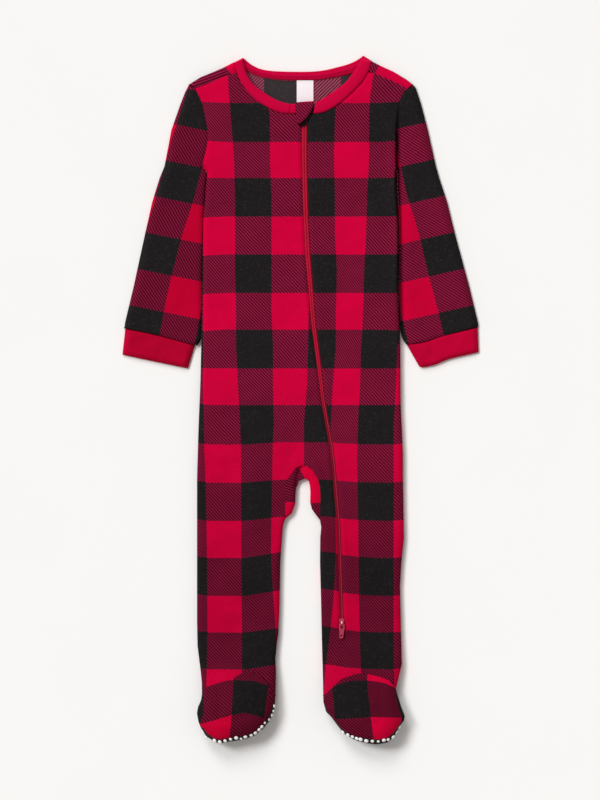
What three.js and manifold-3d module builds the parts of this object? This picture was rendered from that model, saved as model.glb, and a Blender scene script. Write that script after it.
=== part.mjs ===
// A footed one-piece baby sleep suit laid out flat on its back, front upwards.
// Millimetres, +Z up, +Y towards the neck, +X towards the wearer's left side.
// The origin is under the middle of the garment, on the surface that it lies on.
//
// The outline tables are in layout units of U millimetres each: x runs to the
// right and y runs down the garment from the shoulders to the toes.
import * as THREE from 'three';
import { mergeVertices } from 'three/addons/utils/BufferGeometryUtils.js';
import Module from 'manifold-3d';

const wasm = await Module();
wasm.setup();

// ---------------------------------------------------------------- sizes
const U = 1.02; // millimetres in one layout unit
const X0 = 300.69; // layout x of the garment's middle
const Y0 = 399.453; // layout y of the garment's middle
const CLOTH = 1.9; // thickness of the knitted cloth
const SEAM = 0.3; // gap between two pieces at a seam
const TAPE = 0.7; // thickness of the zip tape
const COIL_H = 1.9; // height of the closed coil above the tape
const LABEL = 0.6; // thickness of the neck label
const FLAP = 1.8; // thickness of the zip guard at the neck

const mx = (x) => (x - X0) * U;
const my = (y) => (Y0 - y) * U;

// ---------------------------------------------------------------- tables
// Edges of the flattened tubes: layout y, and the layout x of the edge there.
const cols = (names, rows) => rows.map((r) => Object.fromEntries(names.map((n, i) => [n, r[i]])));
const torsoLeftEdge = cols(['y', 'x'], [
  [48, 262], [58.2, 242.4], [61.9, 234], [67.3, 223.7], [72.6, 211.4], [77.2, 200.3], [83.7, 190],
  [88, 183], [96, 188], [112, 195], [142, 198], [158, 199], [166, 203.9], [250, 203.4], [300, 203],
  [346, 201.2], [380, 200.4], [430, 198.4], [478, 197]]);
const torsoRightEdge = cols(['y', 'x'], [
  [48, 348], [56.1, 364.1], [61.1, 371.5], [65.3, 379.9], [71.4, 393.3], [79.5, 406.7], [84.1, 412.4],
  [88, 420], [96, 413], [112, 405], [138, 404], [158, 402], [170.6, 397.9], [250, 397.6], [300, 397.8],
  [346, 399.5], [406, 400.8], [454, 403], [478, 403]]);
const rightLegOut = cols(['y', 'x'], [
  [440, 198.2], [478, 197], [622, 197], [646, 197.5], [658, 199], [670, 200.5], [682, 201.8], [694, 202],
  [699.6, 201.2], [706.7, 198.1], [713, 197], [720.7, 198.4], [726.3, 200.5], [735.4, 206.1],
  [741.1, 214.6], [742.5, 219]]);
const rightLegIn = cols(['y', 'x'], [
  [440, 306], [474, 306], [478.8, 303.6], [481.4, 298.6], [487, 296.3], [495, 295.5], [503.8, 295.2],
  [513.6, 291.7], [518.7, 285.4], [526, 283], [562, 280.3], [610, 279.5], [634, 278.3], [646, 276.6],
  [658, 275.3], [670, 276], [694, 275.6], [706.7, 274.8], [713, 273.5], [720.7, 269.3], [727.7, 263.7],
  [734.7, 255.3], [738.2, 246], [741.1, 229], [742.5, 221]]);
const leftLegIn = cols(['y', 'x'], [
  [440, 300], [474, 300.5], [478.8, 306], [481, 308.8], [485, 309.8], [491.7, 310.4], [502, 310.1],
  [509, 311.8], [514.7, 315.9], [519.9, 319.9], [527, 321.2], [538, 320.2], [562, 320], [600, 321],
  [646, 322], [682, 323], [701.8, 323.3], [711.6, 326.1], [716.5, 331.1], [727.7, 339.5], [734, 345.1],
  [739.6, 355.6], [742.5, 366.1], [743.5, 375]]);
const leftLegOut = cols(['y', 'x'], [
  [440, 402.4], [490, 403.2], [538, 404], [562, 401.5], [586, 400], [640, 401.3], [664, 401.9],
  [684.9, 397], [688.4, 396], [693.3, 397], [706.7, 401.2], [715.8, 404.7], [720, 404], [726.3, 399.1],
  [736.8, 393.5], [741.8, 387.2], [743.5, 378]]);
const rightSleeveOut = cols(['y', 'x'], [
  [78, 194], [84, 189], [88, 187], [92, 185], [104, 180.3], [130, 171.2], [166, 164.4], [178, 159.5],
  [202, 152], [238, 144], [286, 133.6], [322, 125], [346, 122], [374, 119]]);
const rightSleeveIn = cols(['y', 'x'], [
  [78, 203], [88, 205], [104, 211], [130, 216], [158, 210], [166.8, 203.2], [250, 202.6], [300, 201.6],
  [317.7, 199.4], [344.9, 195.8], [374, 190]]);
const leftSleeveOut = cols(['y', 'x'], [
  [78, 408], [84, 412.8], [88, 416], [92, 417.3], [104, 421.2], [130, 428], [166, 436], [178, 439.4],
  [202, 447.3], [238, 456.2], [286, 469.3], [322, 478], [334, 479.6], [374, 480]]);
const leftSleeveIn = cols(['y', 'x'], [
  [78, 399], [88, 398], [104, 392], [130, 387], [158, 390], [171.4, 398.6], [250, 398.4], [300, 398.7],
  [320.5, 402.4], [344.3, 406.2], [374, 416]]);
const rightCuffOut = cols(['y', 'x'], [[318, 125.6], [340, 124], [356, 122.4], [376, 121]]);
const rightCuffIn = cols(['y', 'x'], [[318, 203], [344.9, 195.3], [368.4, 187.9], [376, 186]]);
const leftCuffOut = cols(['y', 'x'], [[318, 477], [340, 478], [352.3, 478.8], [376, 480]]);
const leftCuffIn = cols(['y', 'x'], [[318, 399], [344.3, 406.8], [350.5, 411], [364.6, 418], [376, 424]]);

// Cross-sections along each tube, in millimetres: base is the underside, fold the
// height of the widest point, edge the top beside the fold, mid the top in the
// middle, low and high how far the flat underside and top stay in from the fold.
const sectionNames = ['y', 'base', 'fold', 'edge', 'mid', 'low', 'high'];
const torsoSections = cols(sectionNames, [
  [48, 0, 3.6, 6.8, 6.2, 2.2, 6], [90, 0, 3.9, 7.3, 6.3, 2.2, 7], [170, 0, 4.1, 7.8, 6.3, 2.4, 9],
  [300, 0, 4.1, 7.8, 6.3, 2.4, 10], [440, 0, 4.1, 7.7, 6.6, 2.4, 9], [478, 0, 4.1, 7.6, 7.0, 2.4, 8]]);
const legSections = cols(sectionNames, [
  [440, 0, 4.1, 7.6, 7.0, 2.4, 8], [600, 0, 4.1, 7.8, 7.6, 2.4, 8], [640, 0, 4.6, 8.8, 9.0, 3, 9],
  [664, 0, 6.0, 12.5, 13.5, 4, 11], [676, 0, 7.6, 16.5, 18.5, 6, 13], [690, 0, 10.5, 22.5, 26, 9, 16],
  [702, 0, 13, 27, 31, 12, 18], [714, 0, 14.5, 29, 33, 14, 20], [726, 0, 15, 28, 31.5, 15, 19],
  [735, 3, 15.5, 24.5, 27, 14, 14], [740, 8, 15.5, 20.5, 22, 7, 7], [742.5, 12, 15, 17.5, 18, 0.6, 0.6],
  [743.5, 12.5, 15, 17, 17.3, 0.6, 0.6]]);
const sleeveSections = cols(sectionNames, [
  [78, 0, 3.7, 7.0, 6.4, 2.2, 6], [170, 0, 3.7, 7.3, 6.6, 2.2, 8], [374, 0, 3.6, 7.0, 6.2, 2.2, 8]]);
const cuffSections = cols(sectionNames, [[318, 0, 3.4, 6.5, 6.0, 2, 6], [376, 0, 3.4, 6.6, 6.2, 2, 6]]);

// The height at which the front and vamps meet the back and soles.
const seamHeight = cols(['y', 'z'], [
  [30, 4], [655, 4.2], [670, 6], [685, 8.6], [697, 11], [715, 15.5], [735, 19], [760, 20.5]]);

// The zip: layout x of its middle and half the width of the slit that it fills.
const zipLine = cols(['y', 'x', 'half'], [
  [96, 304.6, 3.3], [177, 304.7, 3.3], [215, 305.5, 3.2], [257, 307.7, 3.1], [286, 310.5, 3],
  [324, 313.5, 2.9], [366, 319.1, 2.8], [402, 323.3, 2.7], [423, 326.7, 2.7], [446, 331, 2.6],
  [469, 334, 2.6], [497, 336, 2.6], [519, 338.4, 2.6], [560, 339.9, 2.6], [600, 340.7, 2.6],
  [614, 341.6, 2.9], [628.5, 341.8, 2.9]]);
const zipTop = 114.6; // layout y where the tape starts, under the guard
const zipEnd = 628.5; // layout y of the tape's end
const coilEnd = 617.9; // layout y where the coil runs into the slider

// Seam lines, in layout units.
const line = (rows) => rows;
const neckOuter = line([[232, 46], [234.3, 61], [236.8, 73], [243.1, 86.3], [254.4, 98.9], [267, 107.3],
  [278.2, 112.3], [290.8, 113.9], [300, 113.6], [313.3, 113.7], [321.7, 113], [334.3, 107.3], [348.4, 96.1],
  [361, 83.5], [368.7, 71.6], [371.8, 61], [374, 46]]);
const neckInner = line([[241.5, 40], [242.4, 61], [246, 73.7], [251.6, 83.5], [262.8, 92.6], [275.4, 100.3],
  [288, 104.3], [315.4, 103.8], [328.7, 96.1], [345.6, 83.5], [354, 73], [361.8, 61], [364.8, 40]]);
const backOuter = line([[232, 46], [234.3, 61.5], [243, 68.5], [251.6, 73], [264.2, 77.2], [285.2, 79.7],
  [314.7, 79.7], [334.3, 76.8], [351.2, 73.4], [361, 69], [371.8, 61], [374, 46]]);
const backInner = line([[236, 40], [242.4, 58.2], [251.6, 65.3], [264.2, 70.2], [285.2, 72], [317.5, 71.6],
  [341.4, 66.7], [354, 62.4], [364.1, 56.1], [370, 40]]);
const shoulderRight = line([[170, 40], [170, 96], [188, 90.4], [195.7, 88.3], [208.4, 83.7], [222.9, 76.8],
  [230.2, 74.9], [239, 72.2], [239, 40]]);
const shoulderLeft = line([[366, 40], [366, 70.8], [373.4, 73], [381.8, 76.4], [393.3, 81.4], [405.9, 87.9],
  [424, 96], [424, 40]]);
const armholeRight = line([[188.5, 80], [188.5, 87], [195, 88.7], [198, 94.4], [201.5, 103], [204.2, 112],
  [207.6, 130], [206.6, 142], [205.2, 156], [204, 166.5]]);
const armholeLeft = line([[414.8, 80], [414.8, 85], [404.3, 91.8], [400, 100], [397.6, 107], [395.7, 122],
  [395.7, 138], [396.6, 156], [397.8, 171]]);
const cuffSeamRight = line([[112, 325], [123.4, 327.5], [159.1, 335.1], [195.3, 344.9], [214, 350]]);
const cuffEndRight = line([[112, 352.6], [122.3, 354.7], [187.9, 368.4], [206, 372.2]]);
const cuffSeamLeft = line([[394, 345.5], [406.5, 344.3], [425, 341.4], [444, 335.1], [479.6, 326], [490, 323.4]]);
const cuffEndLeft = line([[396, 371.6], [420.9, 367.4], [435.6, 364.6], [450.4, 358.9], [478.8, 352.3], [490, 349.7]]);
const gussetArch = line([[284.8, 521], [285.4, 515], [285.2, 500], [285.4, 489], [287.1, 479.7], [291.7, 473.2],
  [295.6, 468.2], [300.2, 465.6], [306.7, 465.9], [312.4, 469.9], [317.6, 478], [319.9, 486.6], [320.4, 495],
  [320.2, 510], [320.2, 521]]);
const instepRight = line([[186, 692], [202, 689.5], [206.8, 686.3], [219.5, 682.1], [232.8, 678.2], [242, 672.4],
  [250, 670.5], [258, 673.4], [266, 679.6], [275, 690], [284, 699]]);
const instepLeft = line([[314, 701], [325.4, 694], [331.1, 687.7], [338.1, 681.4], [346.5, 676.5], [357.7, 673],
  [367.5, 673.7], [380.2, 676.5], [388.6, 680], [396, 688], [412, 694]]);
const heelRight = line([[186, 690], [202.6, 690], [203.7, 697], [203.7, 714], [200.4, 722], [186, 727]]);
const heelLeft = line([[414, 688], [395.6, 688], [395.4, 697], [397.3, 710], [401.4, 719.5], [414, 724]]);
const heelStart = 695; // layout y where the sole meets the back
const guard = line([[294.8, 103.2], [304.8, 102], [314.7, 101], [312, 111.6], [305.5, 118.6], [299.5, 125],
  [297, 121], [296.3, 113]]);
const labelBox = { left: 296.6, right: 313.6, top: 80.4, bottom: 103 };

// ---------------------------------------------------------------- helpers
const at = (table, y, col) => {
  if (y <= table[0].y) return table[0][col];
  for (let i = 1; i < table.length; i++) {
    const a = table[i - 1], b = table[i];
    if (y <= b.y) return a[col] + ((b[col] - a[col]) * (y - a.y)) / (b.y - a.y);
  }
  return table[table.length - 1][col];
};

// One cross-section of a flattened tube at layout y, cloth inside by inset mm.
const section = (tube, y, inset) => {
  const g = (c) => at(tube.sections, y, c);
  const l = mx(at(tube.left, y, 'x')) + inset, r = mx(at(tube.right, y, 'x')) - inset;
  const base = g('base') + inset, fold = g('fold'), edge = g('edge') - inset, mid = g('mid') - inset;
  const half = (r - l) / 2, m = (l + r) / 2;
  const low = Math.min(g('low'), half * 0.8), high = Math.min(g('high'), half * 0.8);
  const side = (s, e) => [
    [e - s * low, base], [e, fold],
    [e - s * high * 0.1, fold + (edge - fold) * 0.55], [e - s * high * 0.36, fold + (edge - fold) * 0.88],
    [e - s * high, edge]];
  return [...side(1, r), [m, mid], ...side(-1, l).reverse()];
};

// The top of a tube over the layout point x, y.
const topOf = (tube, x, y) => {
  const s = section(tube, y, 0).slice(1, 10).reverse(), X = mx(x);
  for (let i = 1; i < s.length; i++) {
    if (X <= s[i][0]) return s[i - 1][1] + ((s[i][1] - s[i - 1][1]) * (X - s[i - 1][0])) / (s[i][0] - s[i - 1][0]);
  }
  return s[s.length - 1][1];
};

const solid = (geometry) => {
  geometry.deleteAttribute('normal');
  geometry.deleteAttribute('uv');
  const g = mergeVertices(geometry, 1e-4);
  return new wasm.Manifold(new wasm.Mesh({
    numProp: 3, vertProperties: new Float32Array(g.attributes.position.array),
    triVerts: new Uint32Array(g.index.array) }));
};

// A closed mesh through rings that all have the same number of points.
const loft = (rings) => {
  const n = rings[0].length, pos = rings.flat(2), tri = [];
  for (let i = 0; i + 1 < rings.length; i++) {
    for (let j = 0; j < n; j++) {
      const a = i * n + j, b = i * n + ((j + 1) % n), c = a + n, d = b + n;
      tri.push(a, b, c, b, d, c);
    }
  }
  const cap = (k, flip) => {
    const ring = rings[k].map((p) => new THREE.Vector2(p[0], p[2]));
    const faces = THREE.ShapeUtils.triangulateShape(ring, []);
    const total = faces.reduce((sum, f) => sum + THREE.ShapeUtils.area(f.map((i) => ring[i])), 0);
    const same = total > 0 === THREE.ShapeUtils.area(ring) > 0;
    for (const [a, b, c] of faces) {
      tri.push(k * n + a, k * n + (flip === same ? c : b), k * n + (flip === same ? b : c));
    }
  };
  cap(0, true);
  cap(rings.length - 1, false);
  let volume = 0;
  const v = (i) => new THREE.Vector3(pos[3 * i], pos[3 * i + 1], pos[3 * i + 2]);
  for (let i = 0; i < tri.length; i += 3) volume += v(tri[i]).dot(v(tri[i + 1]).cross(v(tri[i + 2])));
  if (volume < 0) for (let i = 0; i < tri.length; i += 3) [tri[i + 1], tri[i + 2]] = [tri[i + 2], tri[i + 1]];
  const g = new THREE.BufferGeometry();
  g.setAttribute('position', new THREE.Float32BufferAttribute(pos, 3));
  g.setIndex(tri);
  return solid(g);
};
const tubeSolid = (tube, rows, inset) =>
  loft(rows.map((y) => section(tube, y, inset).map(([X, Z]) => [X, my(y), Z])));

// A block over a plan outline in layout units, grown outwards by grow mm.
const grown = (outline, grow) => {
  const p = outline.map(([x, y]) => new THREE.Vector2(mx(x), my(y)));
  const turn = THREE.ShapeUtils.area(p) > 0 ? 1 : -1;
  if (!grow) return p;
  return p.map((b, i) => {
    const a = p[(i + p.length - 1) % p.length], c = p[(i + 1) % p.length];
    const n1 = new THREE.Vector2(b.y - a.y, a.x - b.x).normalize(), n2 = new THREE.Vector2(c.y - b.y, b.x - c.x).normalize();
    const n = n1.clone().add(n2).normalize();
    return b.clone().addScaledVector(n, (turn * grow) / Math.max(0.5, n.dot(n1)));
  });
};
const block = (outline, z0, z1, grow = 0) => {
  const g = new THREE.ExtrudeGeometry(new THREE.Shape(grown(outline, grow)), { depth: z1 - z0, bevelEnabled: false });
  g.translate(0, 0, z0);
  return solid(g);
};
const TALL = 60;
const column = (outline, grow = 0) => block(outline, -5, TALL, grow);

// The space above or below the seam height, shifted by shift mm.
const seamBlock = (above, shift) => {
  const edge = seamHeight.map((r) => [my(r.y), r.z + shift]);
  const z = above ? TALL : -6;
  const shape = new THREE.Shape([...edge, [edge[edge.length - 1][0], z], [edge[0][0], z]].map(([a, b]) => new THREE.Vector2(a, b)));
  const g = new THREE.ExtrudeGeometry(shape, { depth: 460, bevelEnabled: false });
  const q = g.attributes.position, turn = [];
  for (let i = 0; i < q.count; i++) turn.push(q.getZ(i) - 230, q.getX(i), q.getY(i));
  g.setAttribute('position', new THREE.Float32BufferAttribute(turn, 3));
  return solid(g);
};
const joined = (list) => list.reduce((a, b) => a.add(b));

// ---------------------------------------------------------------- body shell
const torso = { left: torsoLeftEdge, right: torsoRightEdge, sections: torsoSections };
const legR = { left: rightLegOut, right: rightLegIn, sections: legSections };
const legL = { left: leftLegIn, right: leftLegOut, sections: legSections };
const torsoRows = [48, 56.1, 61.5, 66.3, 72, 78, 83.9, 88, 96, 112, 140, 158, 166, 170.6, 230, 300, 346, 430, 474];
const legTopRows = [440, 474, 478.8, 481.4, 487, 503.8, 509, 514.2, 519.2, 527, 600, 643, 664, 676, 690];
const footRRows = [700, 708, 716, 724, 730, 735, 738.6, 741.1, 742.5];
const footLRows = [700, 707, 715.8, 723, 729, 735, 739.6, 742, 743.5];
const cutEnd = (rows, last) => [...rows.filter((y) => y < last - 1), last];

const outer = joined([
  tubeSolid(torso, torsoRows, 0), tubeSolid(legR, [...legTopRows, ...footRRows], 0),
  tubeSolid(legL, [...legTopRows, ...footLRows], 0)]);
const inner = joined([
  tubeSolid(torso, torsoRows, CLOTH), tubeSolid(legR, cutEnd([...legTopRows, ...footRRows], 738.4), CLOTH),
  tubeSolid(legL, cutEnd([...legTopRows, ...footLRows], 739.4), CLOTH)]);

// Cut away the space outside the armholes.
const outsideRight = column([...armholeRight, [150, 172], [150, 80]]);
const outsideLeft = column([...armholeLeft, [450, 176], [450, 80]]);
const shell = outer.subtract(inner).subtract(outsideRight).subtract(outsideLeft);

const above = seamBlock(true, SEAM / 2), below = seamBlock(false, -SEAM / 2);
const aboveAll = seamBlock(true, 0), belowAll = seamBlock(false, 0.02);

// ---------------------------------------------------------------- neck band
const neckBand = joined([
  shell.intersect(aboveAll).intersect(column(neckOuter)).subtract(column(neckInner)),
  shell.intersect(belowAll).intersect(column(backOuter)).subtract(column(backInner))]);

// ---------------------------------------------------------------- crotch gusset
const gusset = shell.intersect(column(gussetArch));

// ---------------------------------------------------------------- feet
const below695 = (y) => column([[150, y], [460, y], [460, 780], [150, 780]]);
const footSideRight = [[150, 640], [301, 640], [301, 780], [150, 780]];
const vampZoneR = [...instepRight, [284, 780], [186, 780]];
const vampZoneL = [...instepLeft, [412, 780], [314, 780]];
const vampRight = shell.intersect(above).intersect(column(vampZoneR)).subtract(column(heelRight, SEAM));
const vampLeft = shell.intersect(above).intersect(column(vampZoneL)).subtract(column(heelLeft, SEAM));
const soles = shell.intersect(below).intersect(below695(heelStart + SEAM / U))
  .subtract(column(heelRight, SEAM)).subtract(column(heelLeft, SEAM));
const soleRight = soles.intersect(column(footSideRight));
const soleLeft = soles.subtract(column(footSideRight));

// ---------------------------------------------------------------- back
const shoulders = shell.intersect(aboveAll).intersect(joined([column(shoulderRight), column(shoulderLeft)]))
  .subtract(column(neckOuter, SEAM));
const seatAndLegs = shell.intersect(below).subtract(below695(heelStart)).subtract(column(backOuter, SEAM));
// the shoulders' folded edge joins the strips in front to the back
const shoulderFold = shell.intersect(belowAll).intersect(joined([column(shoulderRight), column(shoulderLeft)]))
  .subtract(column(neckOuter, SEAM)).subtract(column(backOuter, SEAM));
const heels = shell.intersect(joined([column(heelRight), column(heelLeft)]));
const back = joined([seatAndLegs, shoulders, shoulderFold, heels]).subtract(column(gussetArch, SEAM));

// ---------------------------------------------------------------- fronts
const front = shell.intersect(above)
  .subtract(column(neckOuter, SEAM)).subtract(column(shoulderRight, SEAM)).subtract(column(shoulderLeft, SEAM))
  .subtract(column(gussetArch, SEAM)).subtract(column(vampZoneR, SEAM)).subtract(column(vampZoneL, SEAM))
  .subtract(column(heelRight, SEAM)).subtract(column(heelLeft, SEAM));
const zipSide = (s) => [
  ...zipLine.map((r) => [r.x + s * r.half, r.y]),
  [341.6 + s * 0.6, 633], [342.6 + s * 0.16, 640], [343 + s * 0.16, 670], [343.4 + s * 0.16, 700],
  s < 0 ? [100, 700] : [500, 700], s < 0 ? [100, 40] : [500, 40], [304.6 + s * 3.3, 40]];
const rightSide = column(zipSide(-1)), leftSide = column(zipSide(1));
const frontRight = front.intersect(rightSide.add(column([[150, 640], [300, 640], [300, 760], [150, 760]])));
const frontLeft = front.intersect(leftSide);

// ---------------------------------------------------------------- sleeves and cuffs
const sleeveR = { left: rightSleeveOut, right: rightSleeveIn, sections: sleeveSections };
const sleeveL = { left: leftSleeveIn, right: leftSleeveOut, sections: sleeveSections };
const cuffR = { left: rightCuffOut, right: rightCuffIn, sections: cuffSections };
const cuffL = { left: leftCuffIn, right: leftCuffOut, sections: cuffSections };
const sleeveRows = [78, 84, 88, 92, 104, 130, 158, 166.8, 171.4, 202, 250, 300, 322, 346, 374];
const cuffRows = [318, 344.6, 352, 366, 376];
const tube = (t, rows) => tubeSolid(t, rows, 0).subtract(tubeSolid(t, rows, CLOTH - 0.1));
const shifted = (rows, dx, dy) => rows.map(([x, y]) => [x + dx / U, y + dy / U]);
const under = (rows, dy) => [...shifted(rows, 0, dy), [rows[rows.length - 1][0], 400], [rows[0][0], 400]];
const armR = [...shifted(armholeRight, -SEAM * 1.15, SEAM * 0.6), [230, 168], [230, 60], [188.1, 60]];
const armL = [...shifted(armholeLeft, SEAM * 1.15, SEAM * 0.6), [380, 173], [380, 60], [415.2, 60]];
const sleeveRight = tube(sleeveR, sleeveRows).subtract(column(armR)).subtract(column(under(cuffSeamRight, -SEAM / 2)));
const sleeveLeft = tube(sleeveL, sleeveRows).subtract(column(armL)).subtract(column(under(cuffSeamLeft, -SEAM / 2)));
const cuffRight = tube(cuffR, cuffRows).intersect(column(under(cuffSeamRight, SEAM / 2))).subtract(column(under(cuffEndRight, 0)));
const cuffLeft = tube(cuffL, cuffRows).intersect(column(under(cuffSeamLeft, SEAM / 2))).subtract(column(under(cuffEndLeft, 0)));

// ---------------------------------------------------------------- zip
// The garment's top under the zip comes from the torso down to the crotch and from the left leg below it.
const zipX = (y) => at(zipLine, y, 'x'), zipHalf = (y) => at(zipLine, y, 'half');
const panelTop = (x, y) => (y < 470 ? topOf(torso, x, y) : topOf(legL, x, y));
const zipRows = [zipTop, 177, 215, 257, 286, 324, 366, 402, 423, 446, 469, 497, 519, 560, 600, 612];
// A strip that follows the zip: x offsets in mm from its middle, z offsets in mm from the panel's top.
const strip = (rows, ring) => loft(rows.map((y) => ring(y).map(([dx, dz]) =>
  [mx(zipX(y)) + dx, my(y), panelTop(zipX(y), y) + dz])));
const tapeZ = -CLOTH - SEAM - 0.15;
const tapeRing = (s) => () => [[s * 0.15, tapeZ - TAPE], [s * 6.4, tapeZ - TAPE], [s * 6.4, tapeZ], [s * 0.15, tapeZ]];
const tapeRight = strip([...zipRows, zipEnd], tapeRing(-1));
const tapeLeft = strip([...zipRows, zipEnd], tapeRing(1));
const coilRing = (y) => {
  const h = zipHalf(y) * U - 0.55, z = tapeZ + SEAM;
  return [[-h, z], [h, z], [h, z + COIL_H * 0.55], [h * 0.45, z + COIL_H], [-h * 0.45, z + COIL_H], [-h, z + COIL_H * 0.55]];
};
const coil = strip([...zipRows, coilEnd], coilRing);

// The slider at the lower end of the zip, and its pull tab on a crown.
const sliderY = 622.6, hingeY = 624.4;
const sliderTop = panelTop(341.8, sliderY) + 1.3;
const sliderLow = panelTop(341.8, sliderY) + tapeZ + SEAM;
const sliderX = mx(341.8);
const SLIDER = { length: 8.7, width: 5.1, crown: 2.6, wire: 0.9 };
const shieldOutline = [[-0.5, 1], [-1, 0.55], [-0.86, -0.2], [-0.72, -1], [0.72, -1], [0.86, -0.2], [1, 0.55], [0.5, 1]]
  .map(([a, b]) => new THREE.Vector2((a * SLIDER.width) / 2, (b * SLIDER.length) / 2));
const shield = new THREE.ExtrudeGeometry(new THREE.Shape(shieldOutline), {
  depth: sliderTop - sliderLow - 0.5, bevelEnabled: true, bevelThickness: 0.25, bevelSize: 0.25, bevelOffset: -0.25, bevelSegments: 1 });
shield.translate(sliderX, my(sliderY), sliderLow + 0.25);
const crownShape = new THREE.Shape();
crownShape.moveTo(-SLIDER.crown, -0.6);
crownShape.lineTo(-SLIDER.crown, -0.1);
crownShape.absarc(0, -0.1, SLIDER.crown, Math.PI, 0, true);
crownShape.lineTo(SLIDER.crown, -0.6);
crownShape.lineTo(SLIDER.crown - SLIDER.wire, -0.6);
crownShape.lineTo(SLIDER.crown - SLIDER.wire, -0.1);
crownShape.absarc(0, -0.1, SLIDER.crown - SLIDER.wire, 0, Math.PI, false);
crownShape.lineTo(-SLIDER.crown + SLIDER.wire, -0.6);
const crown = new THREE.ExtrudeGeometry(crownShape, { depth: 1.3, bevelEnabled: false, curveSegments: 10 });
crown.rotateX(Math.PI / 2);
crown.rotateZ(Math.PI / 2);
crown.translate(sliderX - 0.65, my(hingeY), sliderTop);
const slider = solid(shield).add(solid(crown));

// The tab hangs from a cross bar under the crown and lies towards the toes.
const hingeZ = sliderTop + 0.85;
const TAB = { length: 14.2, top: 5.7, tip: 4.6, thick: 0.9, bar: 0.5, window: 3.4, slot: 2.5, eye: 1.5 };
const half = TAB.top / 2, tip = TAB.tip / 2;
const points = (rows) => rows.map(([a, b]) => new THREE.Vector2(a, b));
const tabShape = new THREE.Shape(points([
  [half - 0.6, TAB.bar], [-half + 0.6, TAB.bar], [-half, 0], [-half, -TAB.window], [-tip, -TAB.length + 1.8],
  [-tip + 0.6, -TAB.length + 0.5], [-0.9, -TAB.length], [0.9, -TAB.length], [tip - 0.6, -TAB.length + 0.5],
  [tip, -TAB.length + 1.8], [half, -TAB.window], [half, 0]]));
tabShape.holes.push(
  new THREE.Path(points([[-TAB.slot / 2, -TAB.bar], [TAB.slot / 2, -TAB.bar], [TAB.slot / 2, -TAB.bar - TAB.window],
    [-TAB.slot / 2, -TAB.bar - TAB.window]])),
  new THREE.Path(points([...Array(10).keys()].map((i) => [
    (TAB.eye / 2) * Math.cos((i * Math.PI) / 5), -TAB.length + 2.9 + (TAB.eye / 2) * Math.sin((i * Math.PI) / 5)]))));
const tabGeo = new THREE.ExtrudeGeometry(tabShape, { depth: TAB.thick, bevelEnabled: false });
tabGeo.translate(0, 0, -TAB.thick / 2);
tabGeo.translate(sliderX, my(hingeY), hingeZ);
const pullTab = solid(tabGeo);

// ---------------------------------------------------------------- zip guard and label
const onTop = (outline, lift, thick) => {
  const ring = (z) => outline.map(([x, y]) => [mx(x), my(y), panelTop(x, Math.min(y, 469)) + lift + z]);
  const n = outline.length, pos = [...ring(0), ...ring(thick)].flat(), tri = [];
  const flat = outline.map(([x, y]) => new THREE.Vector2(mx(x), my(y)));
  const ccw = THREE.ShapeUtils.area(flat) > 0;
  for (const [a, b, c] of THREE.ShapeUtils.triangulateShape(flat, [])) {
    const up = new THREE.Vector2().subVectors(flat[b], flat[a]).cross(new THREE.Vector2().subVectors(flat[c], flat[a])) > 0;
    tri.push(n + a, n + (up ? b : c), n + (up ? c : b), a, up ? c : b, up ? b : c);
  }
  for (let i = 0; i < n; i++) {
    const a = ccw ? i : (i + 1) % n, b = ccw ? (i + 1) % n : i;
    tri.push(a, b, n + b, a, n + b, n + a);
  }
  const g = new THREE.BufferGeometry();
  g.setAttribute('position', new THREE.Float32BufferAttribute(pos, 3));
  g.setIndex(tri);
  return solid(g);
};
const zipGuard = onTop(guard, SEAM + 0.1, FLAP);
const label = block([[labelBox.left, labelBox.top], [labelBox.right, labelBox.top],
  [labelBox.right, labelBox.bottom], [labelBox.left, labelBox.bottom]], CLOTH + SEAM, CLOTH + SEAM + LABEL);

// ---------------------------------------------------------------- scene
const RED = 0xc00436, CHECK = 0x5c0c22, DARK = 0x241c1e, WHITE = 0xf2f1ee, METAL = 0xc8284a;
const garment = new THREE.Group();
const add = (name, body, color, roughness = 0.9, metalness = 0) => {
  const m = body.getMesh(), g = new THREE.BufferGeometry();
  g.setAttribute('position', new THREE.Float32BufferAttribute(m.vertProperties, 3));
  g.setIndex(Array.from(m.triVerts));
  const mesh = new THREE.Mesh(g, new THREE.MeshStandardMaterial({ color, roughness, metalness }));
  mesh.name = name;
  garment.add(mesh);
};
add('front_right', frontRight, CHECK);
add('front_left', frontLeft, CHECK);
add('back', back, CHECK);
add('sleeve_right', sleeveRight, CHECK);
add('sleeve_left', sleeveLeft, CHECK);
add('cuff_right', cuffRight, RED);
add('cuff_left', cuffLeft, RED);
add('neck_band', neckBand, RED);
add('crotch_gusset', gusset, CHECK);
add('vamp_right', vampRight, CHECK);
add('vamp_left', vampLeft, CHECK);
add('sole_right', soleRight, DARK);
add('sole_left', soleLeft, DARK);
add('zip_tape_right', tapeRight, RED, 0.8);
add('zip_tape_left', tapeLeft, RED, 0.8);
add('zip_coil', coil, RED, 0.45);
add('zip_slider', slider, METAL, 0.35, 0.3);
add('zip_pull_tab', pullTab, METAL, 0.35, 0.3);
add('zip_guard', zipGuard, CHECK);
add('neck_label', label, WHITE, 0.7);

export default garment;
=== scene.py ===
import math

import bpy
import numpy as np
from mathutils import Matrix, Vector
from mathutils.geometry import delaunay_2d_cdt


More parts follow.
